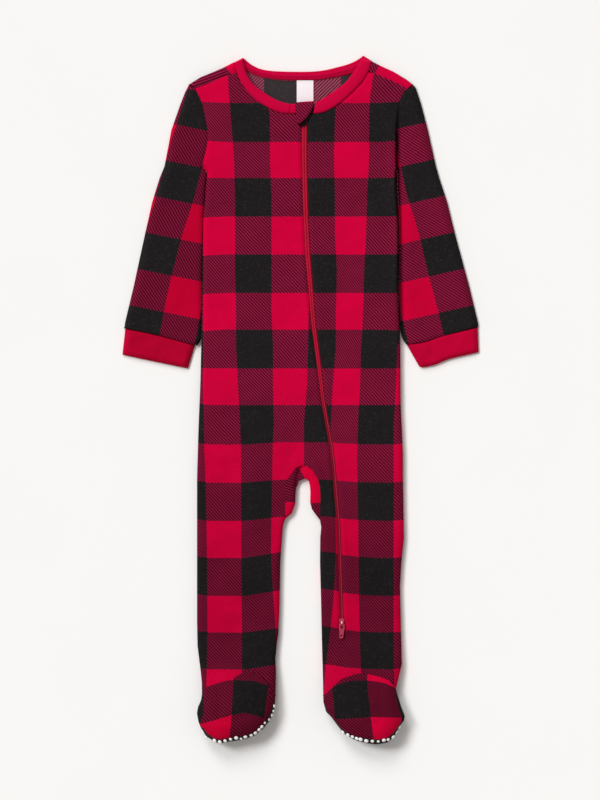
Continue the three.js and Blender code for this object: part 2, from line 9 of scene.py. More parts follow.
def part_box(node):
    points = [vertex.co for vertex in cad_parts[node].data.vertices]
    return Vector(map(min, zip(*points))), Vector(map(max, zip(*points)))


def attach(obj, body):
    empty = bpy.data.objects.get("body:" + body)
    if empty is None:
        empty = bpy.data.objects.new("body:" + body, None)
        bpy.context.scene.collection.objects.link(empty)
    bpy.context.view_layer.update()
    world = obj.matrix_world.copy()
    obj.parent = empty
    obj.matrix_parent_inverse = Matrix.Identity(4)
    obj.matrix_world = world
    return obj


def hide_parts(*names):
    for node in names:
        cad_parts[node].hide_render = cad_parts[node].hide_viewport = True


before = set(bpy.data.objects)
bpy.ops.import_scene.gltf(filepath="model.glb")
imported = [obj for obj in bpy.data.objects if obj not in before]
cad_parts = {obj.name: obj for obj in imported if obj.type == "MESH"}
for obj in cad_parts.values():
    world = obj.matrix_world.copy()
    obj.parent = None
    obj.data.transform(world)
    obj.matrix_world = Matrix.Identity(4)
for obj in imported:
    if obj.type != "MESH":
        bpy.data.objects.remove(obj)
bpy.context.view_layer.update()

scene = bpy.context.scene
rng = np.random.RandomState(11)

# ------------------------------------------------------------------ layout
# Outlines are in layout units, x to the right and y towards the toes, of U metres each.
U = 1.02e-3
X0, Y0 = 300.69, 399.453


def wx(x):
    return (np.asarray(x, float) - X0) * U


def wy(y):
    return (Y0 - np.asarray(y, float)) * U


def T(*rows):
    return np.array(rows, float)


# edges of the flattened tubes: rows of y, x
torsoL = T([48, 262], [58.2, 242.4], [61.9, 234], [67.3, 223.7], [72.6, 211.4], [77.2, 200.3], [83.7, 190],
           [88, 183], [96, 188], [112, 195], [142, 198], [158, 199], [166, 203], [171, 206.8], [176, 207.1], [182, 206.3],
           [190, 205.6], [205, 204.4], [215, 203.4], [245, 202.7], [270, 202.4], [318, 202.3], [330, 202],
           [346, 201.2], [380, 200.4], [430, 198.4], [478, 197])
torsoR = T([48, 348], [56.1, 364.1], [61.1, 371.5], [65.3, 379.9], [71.4, 393.3], [79.5, 406.7], [84.1, 412.4],
           [88, 420], [96, 413], [112, 405], [138, 404], [158, 402], [170.6, 395.6], [190, 395.8], [215, 397.6],
           [250, 398.4], [290, 398.1], [310, 398.6], [330, 399.8], [346, 400.3], [406, 400.8], [454, 403], [478, 403])
legRout = T([440, 198.2], [478, 197], [622, 197], [646, 197.5], [658, 199], [670, 200.5], [682, 201.8], [694, 202],
            [699.6, 201.2], [706.7, 198.1], [713, 197], [720.7, 198.4], [726.3, 200.5], [735.4, 206.1],
            [741.1, 214.6], [742.5, 219])
legRin = T([478.8, 303.6], [481.4, 298.6], [487, 296.3], [495, 295.5], [503.8, 295.2],
           [513.6, 291.7], [518.7, 285.4], [526, 283], [562, 280.3], [610, 279.5], [634, 278.3], [646, 276.6],
           [658, 275.3], [670, 276], [694, 275.6], [706.7, 274.8], [713, 273.5], [720.7, 269.3], [727.7, 263.7],
           [734.7, 255.3], [738.2, 246], [741.1, 229], [742.5, 221])
legLin = T([478.8, 306], [481, 308.8], [485, 309.8], [491.7, 310.4], [502, 310.1],
           [509, 311.8], [514.7, 315.9], [519.9, 319.9], [527, 321.2], [538, 320.2], [562, 320], [600, 321],
           [646, 322], [682, 323], [701.8, 323.3], [711.6, 326.1], [716.5, 331.1], [727.7, 339.5], [734, 345.1],
           [739.6, 355.6], [742.5, 366.1], [743.5, 375])
legLout = T([440, 402.4], [490, 403.2], [538, 404], [562, 401.5], [586, 400], [640, 401.3], [664, 401.9],
            [684.9, 397], [688.4, 396], [693.3, 397], [706.7, 401.2], [715.8, 404.7], [720, 404], [726.3, 399.1],
            [736.8, 393.5], [741.8, 387.2], [743.5, 378])
slRout = T([79.5, 193.4], [84, 189], [88, 187], [92, 185], [104, 180.3], [130, 171.2], [166, 164.4], [178, 159.5],
           [202, 152], [238, 144], [286, 133.6], [322, 125], [346, 122], [374, 119])
slRin = T([158, 200.4], [167.4, 201.6], [171, 206.8], [176, 207], [182, 206.2], [190, 205.5], [205, 204.3], [215, 203.3],
          [245, 202.6], [270, 202.2], [300, 202], [318, 201.8], [330, 201.5], [339, 201], [343, 199], [345.5, 197], [347, 195.6], [374, 190])
slLout = T([80, 409], [84, 412.8], [88, 416], [92, 417.3], [104, 421.2], [130, 428], [166, 436], [178, 439.4],
           [202, 447.3], [238, 456.2], [286, 469.3], [322, 478], [334, 479.6], [374, 480])
slLin = T([158, 395.4], [171.4, 395.9], [190, 396], [215, 397.8], [250, 398.6], [290, 398.4], [310, 398.9], [320, 399.3], [330, 400.3],
          [336, 401.7], [340, 403.2], [344.3, 406.2], [374, 416])

# seam lines: rows of x, y
neckOuter = T([234.7, 62.1], [236.8, 73], [243.1, 86.3], [254.4, 98.9], [267, 107.3],
              [278.2, 112.3], [290.8, 113.9], [300, 113.6], [313.3, 113.7], [321.7, 113], [334.3, 107.3],
              [348.4, 96.1], [361, 83.5], [368.7, 71.6], [371.7, 61.9])
neckInner = T([242.4, 61], [246, 73.7], [251.6, 83.5], [262.8, 92.6], [275.4, 100.3],
              [288, 104.3], [315.4, 103.8], [328.7, 96.1], [345.6, 83.5], [354, 73], [361.8, 61])
backOuter = T([234.7, 62.3], [243, 68.5], [251.6, 73], [264.2, 77.2], [285.2, 79.7],
              [314.7, 79.7], [334.3, 76.8], [351.2, 73.4], [361, 69], [371.8, 61])
backInner = T([242.4, 58.2], [251.6, 65.3], [264.2, 70.2], [285.2, 72], [317.5, 71.6],
              [341.4, 66.7], [354, 62.4], [364.1, 56.1])
shoulderR = T([188, 90.4], [195.7, 88.3], [208.4, 83.7], [222.9, 76.8], [230.2, 74.9], [237.2, 72.8])
shoulderL = T([368.4, 71.6], [373.4, 73], [381.8, 76.4], [393.3, 81.4], [405.9, 87.9], [414, 91.5])
armR = T([189.8, 83.9], [189.9, 86], [195, 88.5], [198, 94.4], [201.5, 103], [204.2, 112],
         [207.6, 130], [207.6, 142], [206.2, 150], [204.4, 157], [201.7, 166.9])
armL = T([411.6, 83.7], [410.9, 85.5], [404.4, 91.2], [400, 100], [397.6, 107], [395.7, 122],
         [395.3, 138], [395.2, 156], [395.5, 171])
cuffSeamR = T([123.9, 327.6], [159.1, 335.1], [195.8, 344.9])
cuffEndR = T([122.3, 354.7], [154, 361.4], [187.9, 368.4])
cuffSeamL = T([406.3, 344.3], [425, 341.4], [444, 335.1], [478.6, 326.3])
cuffEndL = T([419, 365.9], [421.5, 367.3], [428, 366.5], [435.6, 364.6], [450.4, 358.9], [478.8, 352.3])
arch = T([285.2, 518.7], [285.2, 500], [285.4, 489], [287.1, 479.7], [291.7, 473.2],
         [295.6, 468.2], [300.2, 465.6], [306.7, 465.9], [312.4, 469.9], [317.6, 478], [319.9, 486.6], [320.4, 495],
         [320.2, 510], [320, 519.9])
instepR = T([202, 689.5], [206.8, 686.3], [219.5, 682.1], [232.8, 678.2], [242, 672.4],
            [250, 670.5], [258, 673.4], [266, 679.6], [275.6, 690.6])
instepL = T([323.2, 695.2], [325.4, 694], [331.1, 687.7], [338.1, 681.4], [346.5, 676.5], [357.7, 673],
            [367.5, 673.7], [380.2, 676.5], [388.6, 680], [396, 688.2])
heelR = T([202, 690], [203.7, 697], [203.7, 714], [200.4, 722], [199.4, 723.5])
heelL = T([396.1, 688.4], [396.2, 697], [398.7, 708], [401.3, 715.4], [403.4, 720.3])
guardLine = T([294.8, 102.6], [304.8, 101.6], [314.1, 101.1], [312.8, 107], [309.3, 114.2], [303.4, 120.9], [298.4, 124.7],
              [297, 121], [295.6, 112])
facingLine = T([306, 106], [312.8, 104.6], [314.6, 108.2], [312.9, 111.8], [310.6, 116.2], [306.7, 121.7], [306.2, 125.7], [300, 126.3], [298.4, 124.2], [300, 116])
# the zip: y, x of its middle, half the width of the slit
zipLine = T([96, 304.6, 3.1], [150, 304.5, 3.0], [177, 304.9, 2.9], [215, 305.9, 2.8], [257, 308, 2.8], [286, 310.6, 2.6],
            [324, 313.6, 2.5], [366, 319.1, 2.3], [402, 323.4, 2.15], [423, 327, 2.05], [446, 331.2, 2.0],
            [469, 334, 1.95], [497, 336.3, 1.9], [519, 338.3, 1.85], [560, 340, 1.8], [600, 341.1, 1.8],
            [614, 341.6, 1.95], [620, 341.7, 2.6], [628.5, 341.8, 2.6])
# heights in millimetres along the body: y, fold, beside the fold, middle, width of the rounded edge
bodyRows = T([48, 3.6, 6.8, 6.2, 5], [90, 3.9, 7.3, 6.4, 5.5], [170, 4.1, 7.9, 6.5, 5], [300, 4.1, 7.8, 6.5, 5],
             [440, 4.1, 7.7, 6.7, 5], [478, 4.1, 7.6, 7.0, 5], [600, 4.1, 7.8, 7.6, 6], [640, 4.6, 8.8, 9, 7.5],
             [664, 5.4, 11.2, 12.8, 10], [676, 6.2, 14, 17, 12], [690, 7.8, 18.5, 23, 16],
             [702, 8.8, 22, 27.5, 19], [714, 10, 24.5, 29.5, 21], [726, 12.5, 27, 31.5, 21], [744, 15, 29, 32, 20])


# ------------------------------------------------------------------ plane geometry
def cut(rows, ya, yb):
    """The part of an edge between two heights, as x, y points running from ya to yb."""
    lo, hi = min(ya, yb), max(ya, yb)
    ys = [lo] + [y for y in rows[:, 0] if lo + 0.05 < y < hi - 0.05] + [hi]
    p = np.array([[np.interp(y, rows[:, 0], rows[:, 1]), y] for y in ys])
    return p if ya < yb else p[::-1]


def chain(*parts):
    out = []
    for part in parts:
        for p in np.atleast_2d(part):
            if not out or np.hypot(*(p - out[-1])) > 0.25:
                out.append(p)
    if np.hypot(*(out[0] - out[-1])) < 0.25:
        out.pop()
    return np.array(out)


def part_of(line, test):
    return np.array([p for p in line if test(p)])


def resample(line, step, closed=False):
    """Points about step apart along a line, keeping its sharp corners."""
    p = np.vstack([line, line[:1]]) if closed else line
    out = []
    for a, b in zip(p[:-1], p[1:]):
        n = max(1, int(round(np.hypot(*(b - a)) / step)))
        out += [a + (b - a) * i / n for i in range(n)]
    if not closed:
        out.append(p[-1])
    return np.array(out)


def spline(line, n):
    """A smooth line through the points, with n points evenly spaced."""
    p = np.vstack([2 * line[0] - line[1], line, 2 * line[-1] - line[-2]])
    out = []
    for i in range(1, len(p) - 2):
        for t in np.linspace(0, 1, 12, endpoint=False):
            a, b, c, d = p[i - 1], p[i], p[i + 1], p[i + 2]
            out.append(0.5 * (2 * b + (c - a) * t + (2 * a - 5 * b + 4 * c - d) * t * t + (3 * b - a - 3 * c + d) * t ** 3))
    out = np.array(out + [line[-1]])
    s = np.concatenate([[0], np.cumsum(np.linalg.norm(np.diff(out, axis=0), axis=1))])
    return np.column_stack([np.interp(np.linspace(0, s[-1], n), s, out[:, k]) for k in range(out.shape[1])])


def distance(P, line, closed=False):
    """Distance of each point to a line."""
    L = np.vstack([line, line[:1]]) if closed else line
    best = np.full(len(P), 1e9)
    for a, b in zip(L[:-1], L[1:]):
        ab = b - a
        t = np.clip(((P - a) @ ab) / max(ab @ ab, 1e-12), 0, 1)
        best = np.minimum(best, np.linalg.norm(P - (a + t[:, None] * ab), axis=1))
    return best


def distance_all(P, lines):
    return np.min([distance(P, l) for l in lines], axis=0)


def inside(P, poly):
    x, y = P[:, 0], P[:, 1]
    hit = np.zeros(len(P), bool)
    q = np.roll(poly, -1, axis=0)
    for (x1, y1), (x2, y2) in zip(poly, q):
        if y1 == y2:
            continue
        c = (y1 > y) != (y2 > y)
        hit ^= c & (x < (x2 - x1) * (y - y1) / (y2 - y1) + x1)
    return hit


def fill(poly, step, folds=(), graded=(0.12, 0.4, 0.9, 1.6, 2.5, 3.6, 5.0), edge_step=None, extra=None):
    """Points and triangles over an outline, closer together beside the folds."""
    ring = resample(poly, edge_step or step, closed=True)
    pts = []
    lo, hi = poly.min(0), poly.max(0)
    rows = int((hi[1] - lo[1]) / (step * 0.866)) + 2
    for i in range(rows):
        y = lo[1] + i * step * 0.866
        xs = np.arange(lo[0] + (i % 2) * step / 2, hi[0], step)
        pts.append(np.column_stack([xs, np.full(len(xs), y)]))
    P = np.vstack(pts)
    P = P[inside(P, poly)]
    P = P[distance(P, poly, closed=True) > step * 0.5]
    if folds:
        P = P[distance_all(P, folds) > graded[-1] + step * 0.45]
        for fold in folds:
            q = resample(fold, step)
            tan = np.gradient(q, axis=0)
            nor = np.column_stack([-tan[:, 1], tan[:, 0]])
            nor /= np.maximum(np.linalg.norm(nor, axis=1), 1e-9)[:, None]
            for o in graded:
                for s in (1, -1):
                    c = q + s * o * nor
                    c = c[inside(c, poly)]
                    if len(c):
                        c = c[(distance_all(c, folds) > o * 0.93) & (distance(c, poly, closed=True) > min(o, step * 0.4) * 0.9)]
                    if len(c):
                        P = np.vstack([P, c])
    if extra is not None and len(extra):
        e = extra[inside(extra, poly)]
        e = e[distance(e, poly, closed=True) > 0.3]
        if len(e):
            d = np.min(np.hypot(P[:, None, 0] - e[None, :, 0], P[:, None, 1] - e[None, :, 1]), axis=1) if len(P) * len(e) < 3e7 else np.full(len(P), 9.0)
            P = np.vstack([P[d > step * 0.35], e])
    everything = np.vstack([ring, P])
    n = len(ring)
    res = delaunay_2d_cdt([Vector((p[0], -p[1])) for p in everything],
                          [(i, (i + 1) % n) for i in range(n)], [], 1, 1e-6)
    V = np.array([[v.x, -v.y] for v in res[0]])
    F = [tuple(f) for f in res[2]]
    return V, F


def smooth_noise(P, scale, seed, octaves=3):
    r = np.random.RandomState(seed)
    out = np.zeros(len(P))
    amp = 1.0
    for o in range(octaves):
        for _ in range(5):
            a, ph, k = r.uniform(0, 2 * math.pi), r.uniform(0, 2 * math.pi), r.uniform(0.7, 1.3) * 2 * math.pi / (scale / 1.9 ** o)
            out += amp * 0.42 * np.sin(k * (P[:, 0] * math.cos(a) + P[:, 1] * math.sin(a)) + ph)
        amp *= 0.5
    return out


def S(t):
    t = np.clip(t, 0, 1)
    return np.sqrt(np.clip(1 - (1 - t) ** 2, 0, 1))


# ------------------------------------------------------------------ folds, seams and creases
bodyFold = chain(cut(torsoL, 166.5, 478), cut(legRout, 478.3, 742.5), cut(legRin, 742.5, 478.8),
                 cut(legLin, 478.8, 743.5), cut(legLout, 743.5, 478.3), cut(torsoR, 478, 171))
bodyFold = np.vstack([bodyFold])
shoulderFoldR = cut(torsoL, 61.9, 83.7)
shoulderFoldL = cut(torsoR, 61.1, 84.1)
folds = [bodyFold, shoulderFoldR, shoulderFoldL]
besideL = np.vstack([armL[5:-1], cut(torsoR, 171, 300)])
seams = [(armR[1:], 0.5), (armL[1:], 0.35), (shoulderR, 0.55), (shoulderL, 0.55), (neckOuter, 0.75), (instepR, 0.38),
         (instepL, 0.38), (arch, 0.3)]

# creases: x, y of each end, width, depth in mm (a ridge where it is negative)
creases = T([345, 640, 345.5, 668, 4.2, 0.3], [214, 176, 250, 205, 7, 0.35], [388, 178, 352, 214, 7, 0.35],
            [236, 520, 262, 600, 10, 0.3], [372, 505, 360, 575, 9, 0.3], [212, 636, 262, 652, 6, 0.5],
            [330, 634, 392, 650, 6, 0.5], [226, 300, 262, 330, 13, 0.25], [340, 330, 384, 300, 12, 0.25],
            [225, 445, 280, 470, 10, 0.35], [352, 452, 392, 428, 10, 0.3], [256, 128, 286, 172, 10, 0.25],
            [352, 130, 330, 168, 10, 0.25], [204, 655, 236, 668, 4, 0.5], [268, 648, 242, 664, 4, 0.45],
            [326, 655, 344, 668, 4, 0.45], [398, 652, 372, 668, 4, 0.5], [292, 448, 285, 472, 4, 0.35],
            [318, 452, 324, 476, 4, 0.3])


def crease_depth(P, rows=creases):
    out = np.zeros(len(P))
    for x1, y1, x2, y2, w, depth in rows:
        a, b = np.array([x1, y1]), np.array([x2, y2])
        ab = b - a
        L = np.hypot(*ab)
        t = ((P - a) @ ab) / (L * L)
        side = ((P[:, 0] - x1) * ab[1] - (P[:, 1] - y1) * ab[0]) / L
        side += 0.5 * w * np.sin(2.2 * t + x1)
        along = np.clip(np.minimum(t + 0.25, 1.25 - t) / 0.5, 0, 1)
        along = along * along * (3 - 2 * along)
        k = side / w
        out += depth * along * (np.exp(-k * k) - 0.45 * np.exp(-((k - 1.7) ** 2)) - 0.35 * np.exp(-((k + 1.6) ** 2)))
    return out


def body_values(P):
    y = P[:, 1]
    return [np.interp(y, bodyRows[:, 0], bodyRows[:, k]) for k in (1, 2, 3, 4)]


def body_top(P, seam_lines=seams, sink=0.0, rough=1.0):
    """Height of the upper face over the surface that the garment lies on, in mm."""
    fold, edge, mid, R = body_values(P)
    d = distance_all(P, folds)
    beside = np.interp(P[:, 1], [112, 135, 250, 290], [0, 1, 1, 0]) * (P[:, 0] > 330)
    R = R * (1 - 0.68 * beside)
    dr = distance(P, besideL)
    H = mid + (edge - mid) * np.exp(-np.clip(d - R, 0, None) / 11.0)
    z = fold + (H - sink - fold) * S(d / R)
    fade = np.clip(d / R, 0, 1)
    z += 1.9 * beside * fade * np.exp(-((dr - 2.4) / 4.0) ** 2)
    z += rough * fade * (0.42 * smooth_noise(P, 62, 3) + 0.13 * smooth_noise(P, 17, 5))
    z -= rough * fade * crease_depth(P)
    for k, (line, deep) in enumerate(seam_lines):
        ds = distance(P, line)
        pucker = 1 + 0.35 * smooth_noise(P, 7.5, 40 + k, 2)
        z -= np.minimum(fade + 0.3, 1) * deep * (pucker * np.exp(-(ds / 1.25) ** 2) - 0.33 * np.exp(-((ds - 3.6) / 2.0) ** 2))
    return z


def body_under(P):
    fold, edge, mid, R = body_values(P)
    d = distance_all(P, folds)
    rb = np.interp(P[:, 1], [600, 664, 690, 714, 744], [3.2, 5, 10, 15, 16])
    toe = np.interp(P[:, 1], [700, 744], [0, 1.0])
    return fold * (1 - S(d / rb)) + toe * 2.0 * np.exp(-d / 9)


# ------------------------------------------------------------------ fabric coordinates
rowK = T([-2, 27.5], [-1, 65], [0, 103], [1, 142], [2, 178], [3, 216.5], [4, 254.5], [5, 293], [6, 329.7], [7, 368.5],
         [8, 405], [9, 444.5], [10, 482.6], [11, 520.8], [12, 557.9], [13, 595.8], [14, 632.3], [15, 669], [16, 707], [17, 745])
FR = [T([60, 192], [95, 196], [120, 200], [160, 203], [200, 203], [270, 203.4], [330, 203.2], [385, 203], [422, 204], [444, 204.2], [482, 205.6], [520, 206.5],
        [557, 207], [595, 207.4], [632, 207.6], [668, 207], [700, 206]),
      T([80, 228], [95, 229], [120, 231], [160, 234], [197, 235], [270, 235], [310, 236], [347, 236], [385, 238],
        [422, 240], [444, 240.9], [482, 241.2], [557, 241.4], [632, 242], [668, 242], [700, 243]),
      T([80, 268], [103, 268], [120, 270], [160, 270], [197, 271.5], [310, 271.5], [347, 273], [385, 273], [422, 274],
        [444, 272.8], [482, 272.2], [520, 271.4], [550, 271], [575, 272], [595, 273.2], [612, 274.6], [640, 276], [700, 277]),
      T([100, 309], [300, 309], [347, 308], [385, 307], [422, 304], [460, 304], [520, 304], [620, 306]),
      T([100, 345], [385, 341], [422, 336], [460, 334], [498, 335], [550, 335.8], [570, 335], [595, 333.8], [610, 332.4], [628, 330.6], [650, 327.6], [664, 325.8], [700, 323])]
FL = [T([103, 336], [120, 335], [160, 334], [197, 335], [234, 335], [270, 337], [310, 336], [347, 336], [385, 333],
        [422, 331], [500, 328], [600, 327], [650, 328.5], [668, 328], [700, 327]),
      T([62, 377], [72, 374], [95, 370], [120, 369], [160, 369], [197, 367], [234, 366], [270, 364], [310, 363], [347, 361],
        [385, 360], [422, 358], [460, 357], [482, 357.4], [520, 358.2], [557, 358.6], [595, 358.9], [632, 359.6], [668, 360.8], [700, 362]),
      T([60, 410], [95, 408], [120, 406], [170, 403], [340, 399.5], [347, 397], [385, 396], [422, 394], [444, 393.6], [498, 393.8], [610, 393.6],
        [650, 393.8], [668, 394], [700, 394])]


def u_of(P, lines, width=36.3, first=0):
    X = np.column_stack([np.interp(P[:, 1], l[:, 0], l[:, 1]) for l in lines])
    x = P[:, 0]
    u = first + (x - X[:, 0]) / width
    for k in range(X.shape[1]):
        last = k + 1 == X.shape[1]
        w = width if last else X[:, k + 1] - X[:, k]
        on = x >= X[:, k]
        u[on] = first + k + ((x - X[:, k]) / w)[on]
    return u


def v_of(P):
    x, y = P[:, 0], P[:, 1]
    lift = np.where(x < 310, np.interp(y, [430, 442, 480, 518, 556, 594, 631, 668], [0, 2.2, 3, 4, 6, 5.5, 4.5, 5]),
                    np.interp(y, [430, 442, 481, 520, 557, 595, 632, 668], [0, 2.2, 3.2, 4.8, 6.8, 7.2, 6.2, 5]))
    w = np.where(x < 310, np.interp(x, [246, 280], [0, 1]), np.interp(x, [322, 334, 342, 358, 378], [1, 0.8, 0.45, 0.18, 0]))
    reach = np.interp(y, [345, 390], [0, 1])
    edgeL = np.interp(y, [150, 200, 345, 390], [1.4, -1.2, -1.4, 1.4]) * np.interp(x, [200, 225], [1, 0]) * (1 - reach)
    edgeR = np.interp(y, [150, 200, 250, 290, 345, 390], [1.4, 0.3, 0.3, -0.3, -1.2, 0.9]) * np.interp(x, [378, 402], [0, 1]) * (1 - reach)
    edge = edgeL + edgeR + reach * (1.4 * np.interp(x, [199, 209], [1, 0]) + 1.0 * np.interp(x, [392, 403], [0, 1]))
    return np.interp(y + lift * w + edge, rowK[:, 1], rowK[:, 0])


def front_uv(lines):
    return lambda P: (u_of(P, lines), v_of(P))


slRb = T([169.3, 201.8], [203.8, 192.3], [240.1, 180.8], [277.5, 171.2], [312.9, 163.6], [334.9, 159.8])
slLb = T([167.4, 401], [190, 405.7], [205, 409.8], [217, 414], [240.1, 420.5], [277.5, 429.1], [313.8, 438.7], [333.9, 443.5])


def extend(t, rows):
    """Interpolation that goes on straight past both ends."""
    v = np.interp(t, rows[:, 0], rows[:, 1])
    a = (rows[1, 1] - rows[0, 1]) / (rows[1, 0] - rows[0, 0])
    b = (rows[-1, 1] - rows[-2, 1]) / (rows[-1, 0] - rows[-2, 0])
    v = np.where(t < rows[0, 0], rows[0, 1] + a * (t - rows[0, 0]), v)
    return np.where(t > rows[-1, 0], rows[-1, 1] + b * (t - rows[-1, 0]), v)


def sleeveR_uv(P):
    x, y = P[:, 0], P[:, 1]
    d = x - extend(y, slRb)
    return np.where(d > 0, d / 36.8, d / np.interp(y, [96, 140], [36.3, 38.4])), (y - 0.2 * (x - 180) - 125.3) / 38.0 + 1


def sleeveL_uv(P):
    x, y = P[:, 0], P[:, 1]
    d = x - extend(y, slLb)
    return np.where(d > 0, d / 38.4, d / 37.4) + 1, (y + 0.225 * (x - 420) - 123.7) / 38.7 + 1


def vampR_uv(P):
    x, y = P[:, 0], P[:, 1]
    u = 1 + (x - np.interp(y, [679, 713, 740], [233.6, 232, 229.5])) / np.interp(y, [680, 717], [35.7, 32.3])
    top = np.interp(x, [200, 233.6, 253.6, 267, 269.6, 271, 280], [682.6, 679.3, 680.3, 684.2, 684.6, 682.5, 686])
    low = np.interp(x, [200, 231.4, 245, 264.3, 266, 280], [723.6, 714, 711.4, 717, 726, 732])
    v = (y - top) / (low - top)
    return u, np.where(u > 1.9, np.clip(v, np.where(u > 1.99, 0.03, -9), np.where(u > 1.99, 0.97, 9)), v)


def vampL_uv(P):
    x, y = P[:, 0], P[:, 1]
    u = 1 + (x - np.interp(y, [688, 718, 740], [332.2, 334.8, 336.5])) / np.interp(y, [680, 716, 740], [35, 36, 37])
    top = np.interp(x, [322, 331, 336, 345, 353, 368, 376, 385, 392, 404], [692, 688.2, 684.8, 681.6, 680, 679.8, 680.8, 682.6, 686.2, 692])
    low = np.interp(x, [322, 334.5, 370, 404], [719.5, 718.5, 715.6, 717])
    return u, (y - top) / (low - top)


def back_uv(P):
    """The back, seen from its own side, cut a little off from the fronts."""
    x, y = P[:, 0], P[:, 1]
    return (x - 264) / 38.5 + 1, (y - 110) / 37.83 + 1


def strapR_uv(P):
    x, y = P[:, 0], P[:, 1]
    u = 1 - (0.776 * (x - 225.4) - 0.631 * (y - 67)) / 41
    lines = (0.34 * (x - 213.5) + 0.94 * (y - 75.5)) * math.sqrt(2) / 41
    mid = 1 - (0.776 * (213.5 - 225.4) - 0.631 * (75.5 - 67)) / 41
    return u, np.where(u < 1.02, 1.5, np.clip(1.5 + (u - mid) - lines, 1.04, 1.96))


def strapL_uv(P):
    a = math.radians(27)
    x, y = P[:, 0] - 377, P[:, 1] - 66
    s, t = x * math.cos(a) + y * math.sin(a), -x * math.sin(a) + y * math.cos(a)
    return (s - 1.5) / 40 + 2, t / 37 + 1.3


# ------------------------------------------------------------------ meshes
def mesh(name, verts, faces, uvs=None, wrong=None, smooth=True):
    """A mesh object in metres. uvs is one u, v for each vertex."""
    me = bpy.data.meshes.new(name)
    me.from_pydata([tuple(map(float, v)) for v in verts], [], faces)
    me.validate()
    if uvs is not None:
        layer = me.uv_layers.new(name="fabric")
        idx = np.zeros(len(me.loops), np.int32)
        me.loops.foreach_get("vertex_index", idx)
        layer.data.foreach_set("uv", np.asarray(uvs, float)[idx].ravel())
    if smooth:
        me.polygons.foreach_set("use_smooth", [True] * len(me.polygons))
        used = {}
        for poly in me.polygons:
            for key in poly.edge_keys:
                used[key] = used.get(key, 0) + 1
        for e in me.edges:
            if used.get(e.key, 0) == 1:
                e.use_edge_sharp = True
    me.update()
    ob = bpy.data.objects.new(name, me)
    scene.collection.objects.link(ob)
    return ob


def up_faces(V, F, up=True):
    """Triangles over layout points, facing up or down."""
    a, b, c = (V[[f[i] for f in F]] for i in range(3))
    cross = (b[:, 0] - a[:, 0]) * -(c[:, 1] - a[:, 1]) + (b[:, 1] - a[:, 1]) * (c[:, 0] - a[:, 0])
    return [f if (k > 0) == up else f[::-1] for f, k in zip(F, cross)]


def surface(V, F, z, uv, up=True):
    verts = np.column_stack([wx(V[:, 0]), wy(V[:, 1]), z * 1e-3])
    return verts, up_faces(V, F, up), np.column_stack(uv)


def joined(parts):
    verts, faces, uvs, n = [], [], [], 0
    for v, f, t in parts:
        verts.append(v)
        faces += [tuple(i + n for i in g) for g in f]
        uvs.append(t)
        n += len(v)
    return np.vstack(verts), faces, np.vstack(uvs)


def weld(verts, faces, uvs, gap=2e-6):
    key = {}
    new, keep = np.zeros(len(verts), int), []
    for i, v in enumerate(np.round(verts / gap).astype(np.int64)):
        k = tuple(v)
        if k not in key:
            key[k] = len(keep)
            keep.append(i)
        new[i] = key[k]
    faces = [tuple(new[list(f)]) for f in faces]
    faces = [tuple(int(i) for i in f) for f in faces if len(set(f)) == len(f)]
    return verts[keep], faces, uvs[keep]


def thicken(ob, mm, rim=True, inner=0):
    m = ob.modifiers.new("cloth", "SOLIDIFY")
    m.thickness = mm * 1e-3
    m.offset = -1
    m.use_rim = rim
    m.use_even_offset = False
    m.material_offset = inner
    m.material_offset_rim = 0
    return m


def area_of(ob):
    me = ob.data
    a = np.zeros(len(me.polygons))
    me.polygons.foreach_get("area", a)
    return float(a.sum())


# ------------------------------------------------------------------ materials
def srgb(r, g, b):
    def f(c):
        c /= 255.0
        return c / 12.92 if c <= 0.04045 else ((c + 0.055) / 1.055) ** 2.4
    return (f(r), f(g), f(b), 1.0)


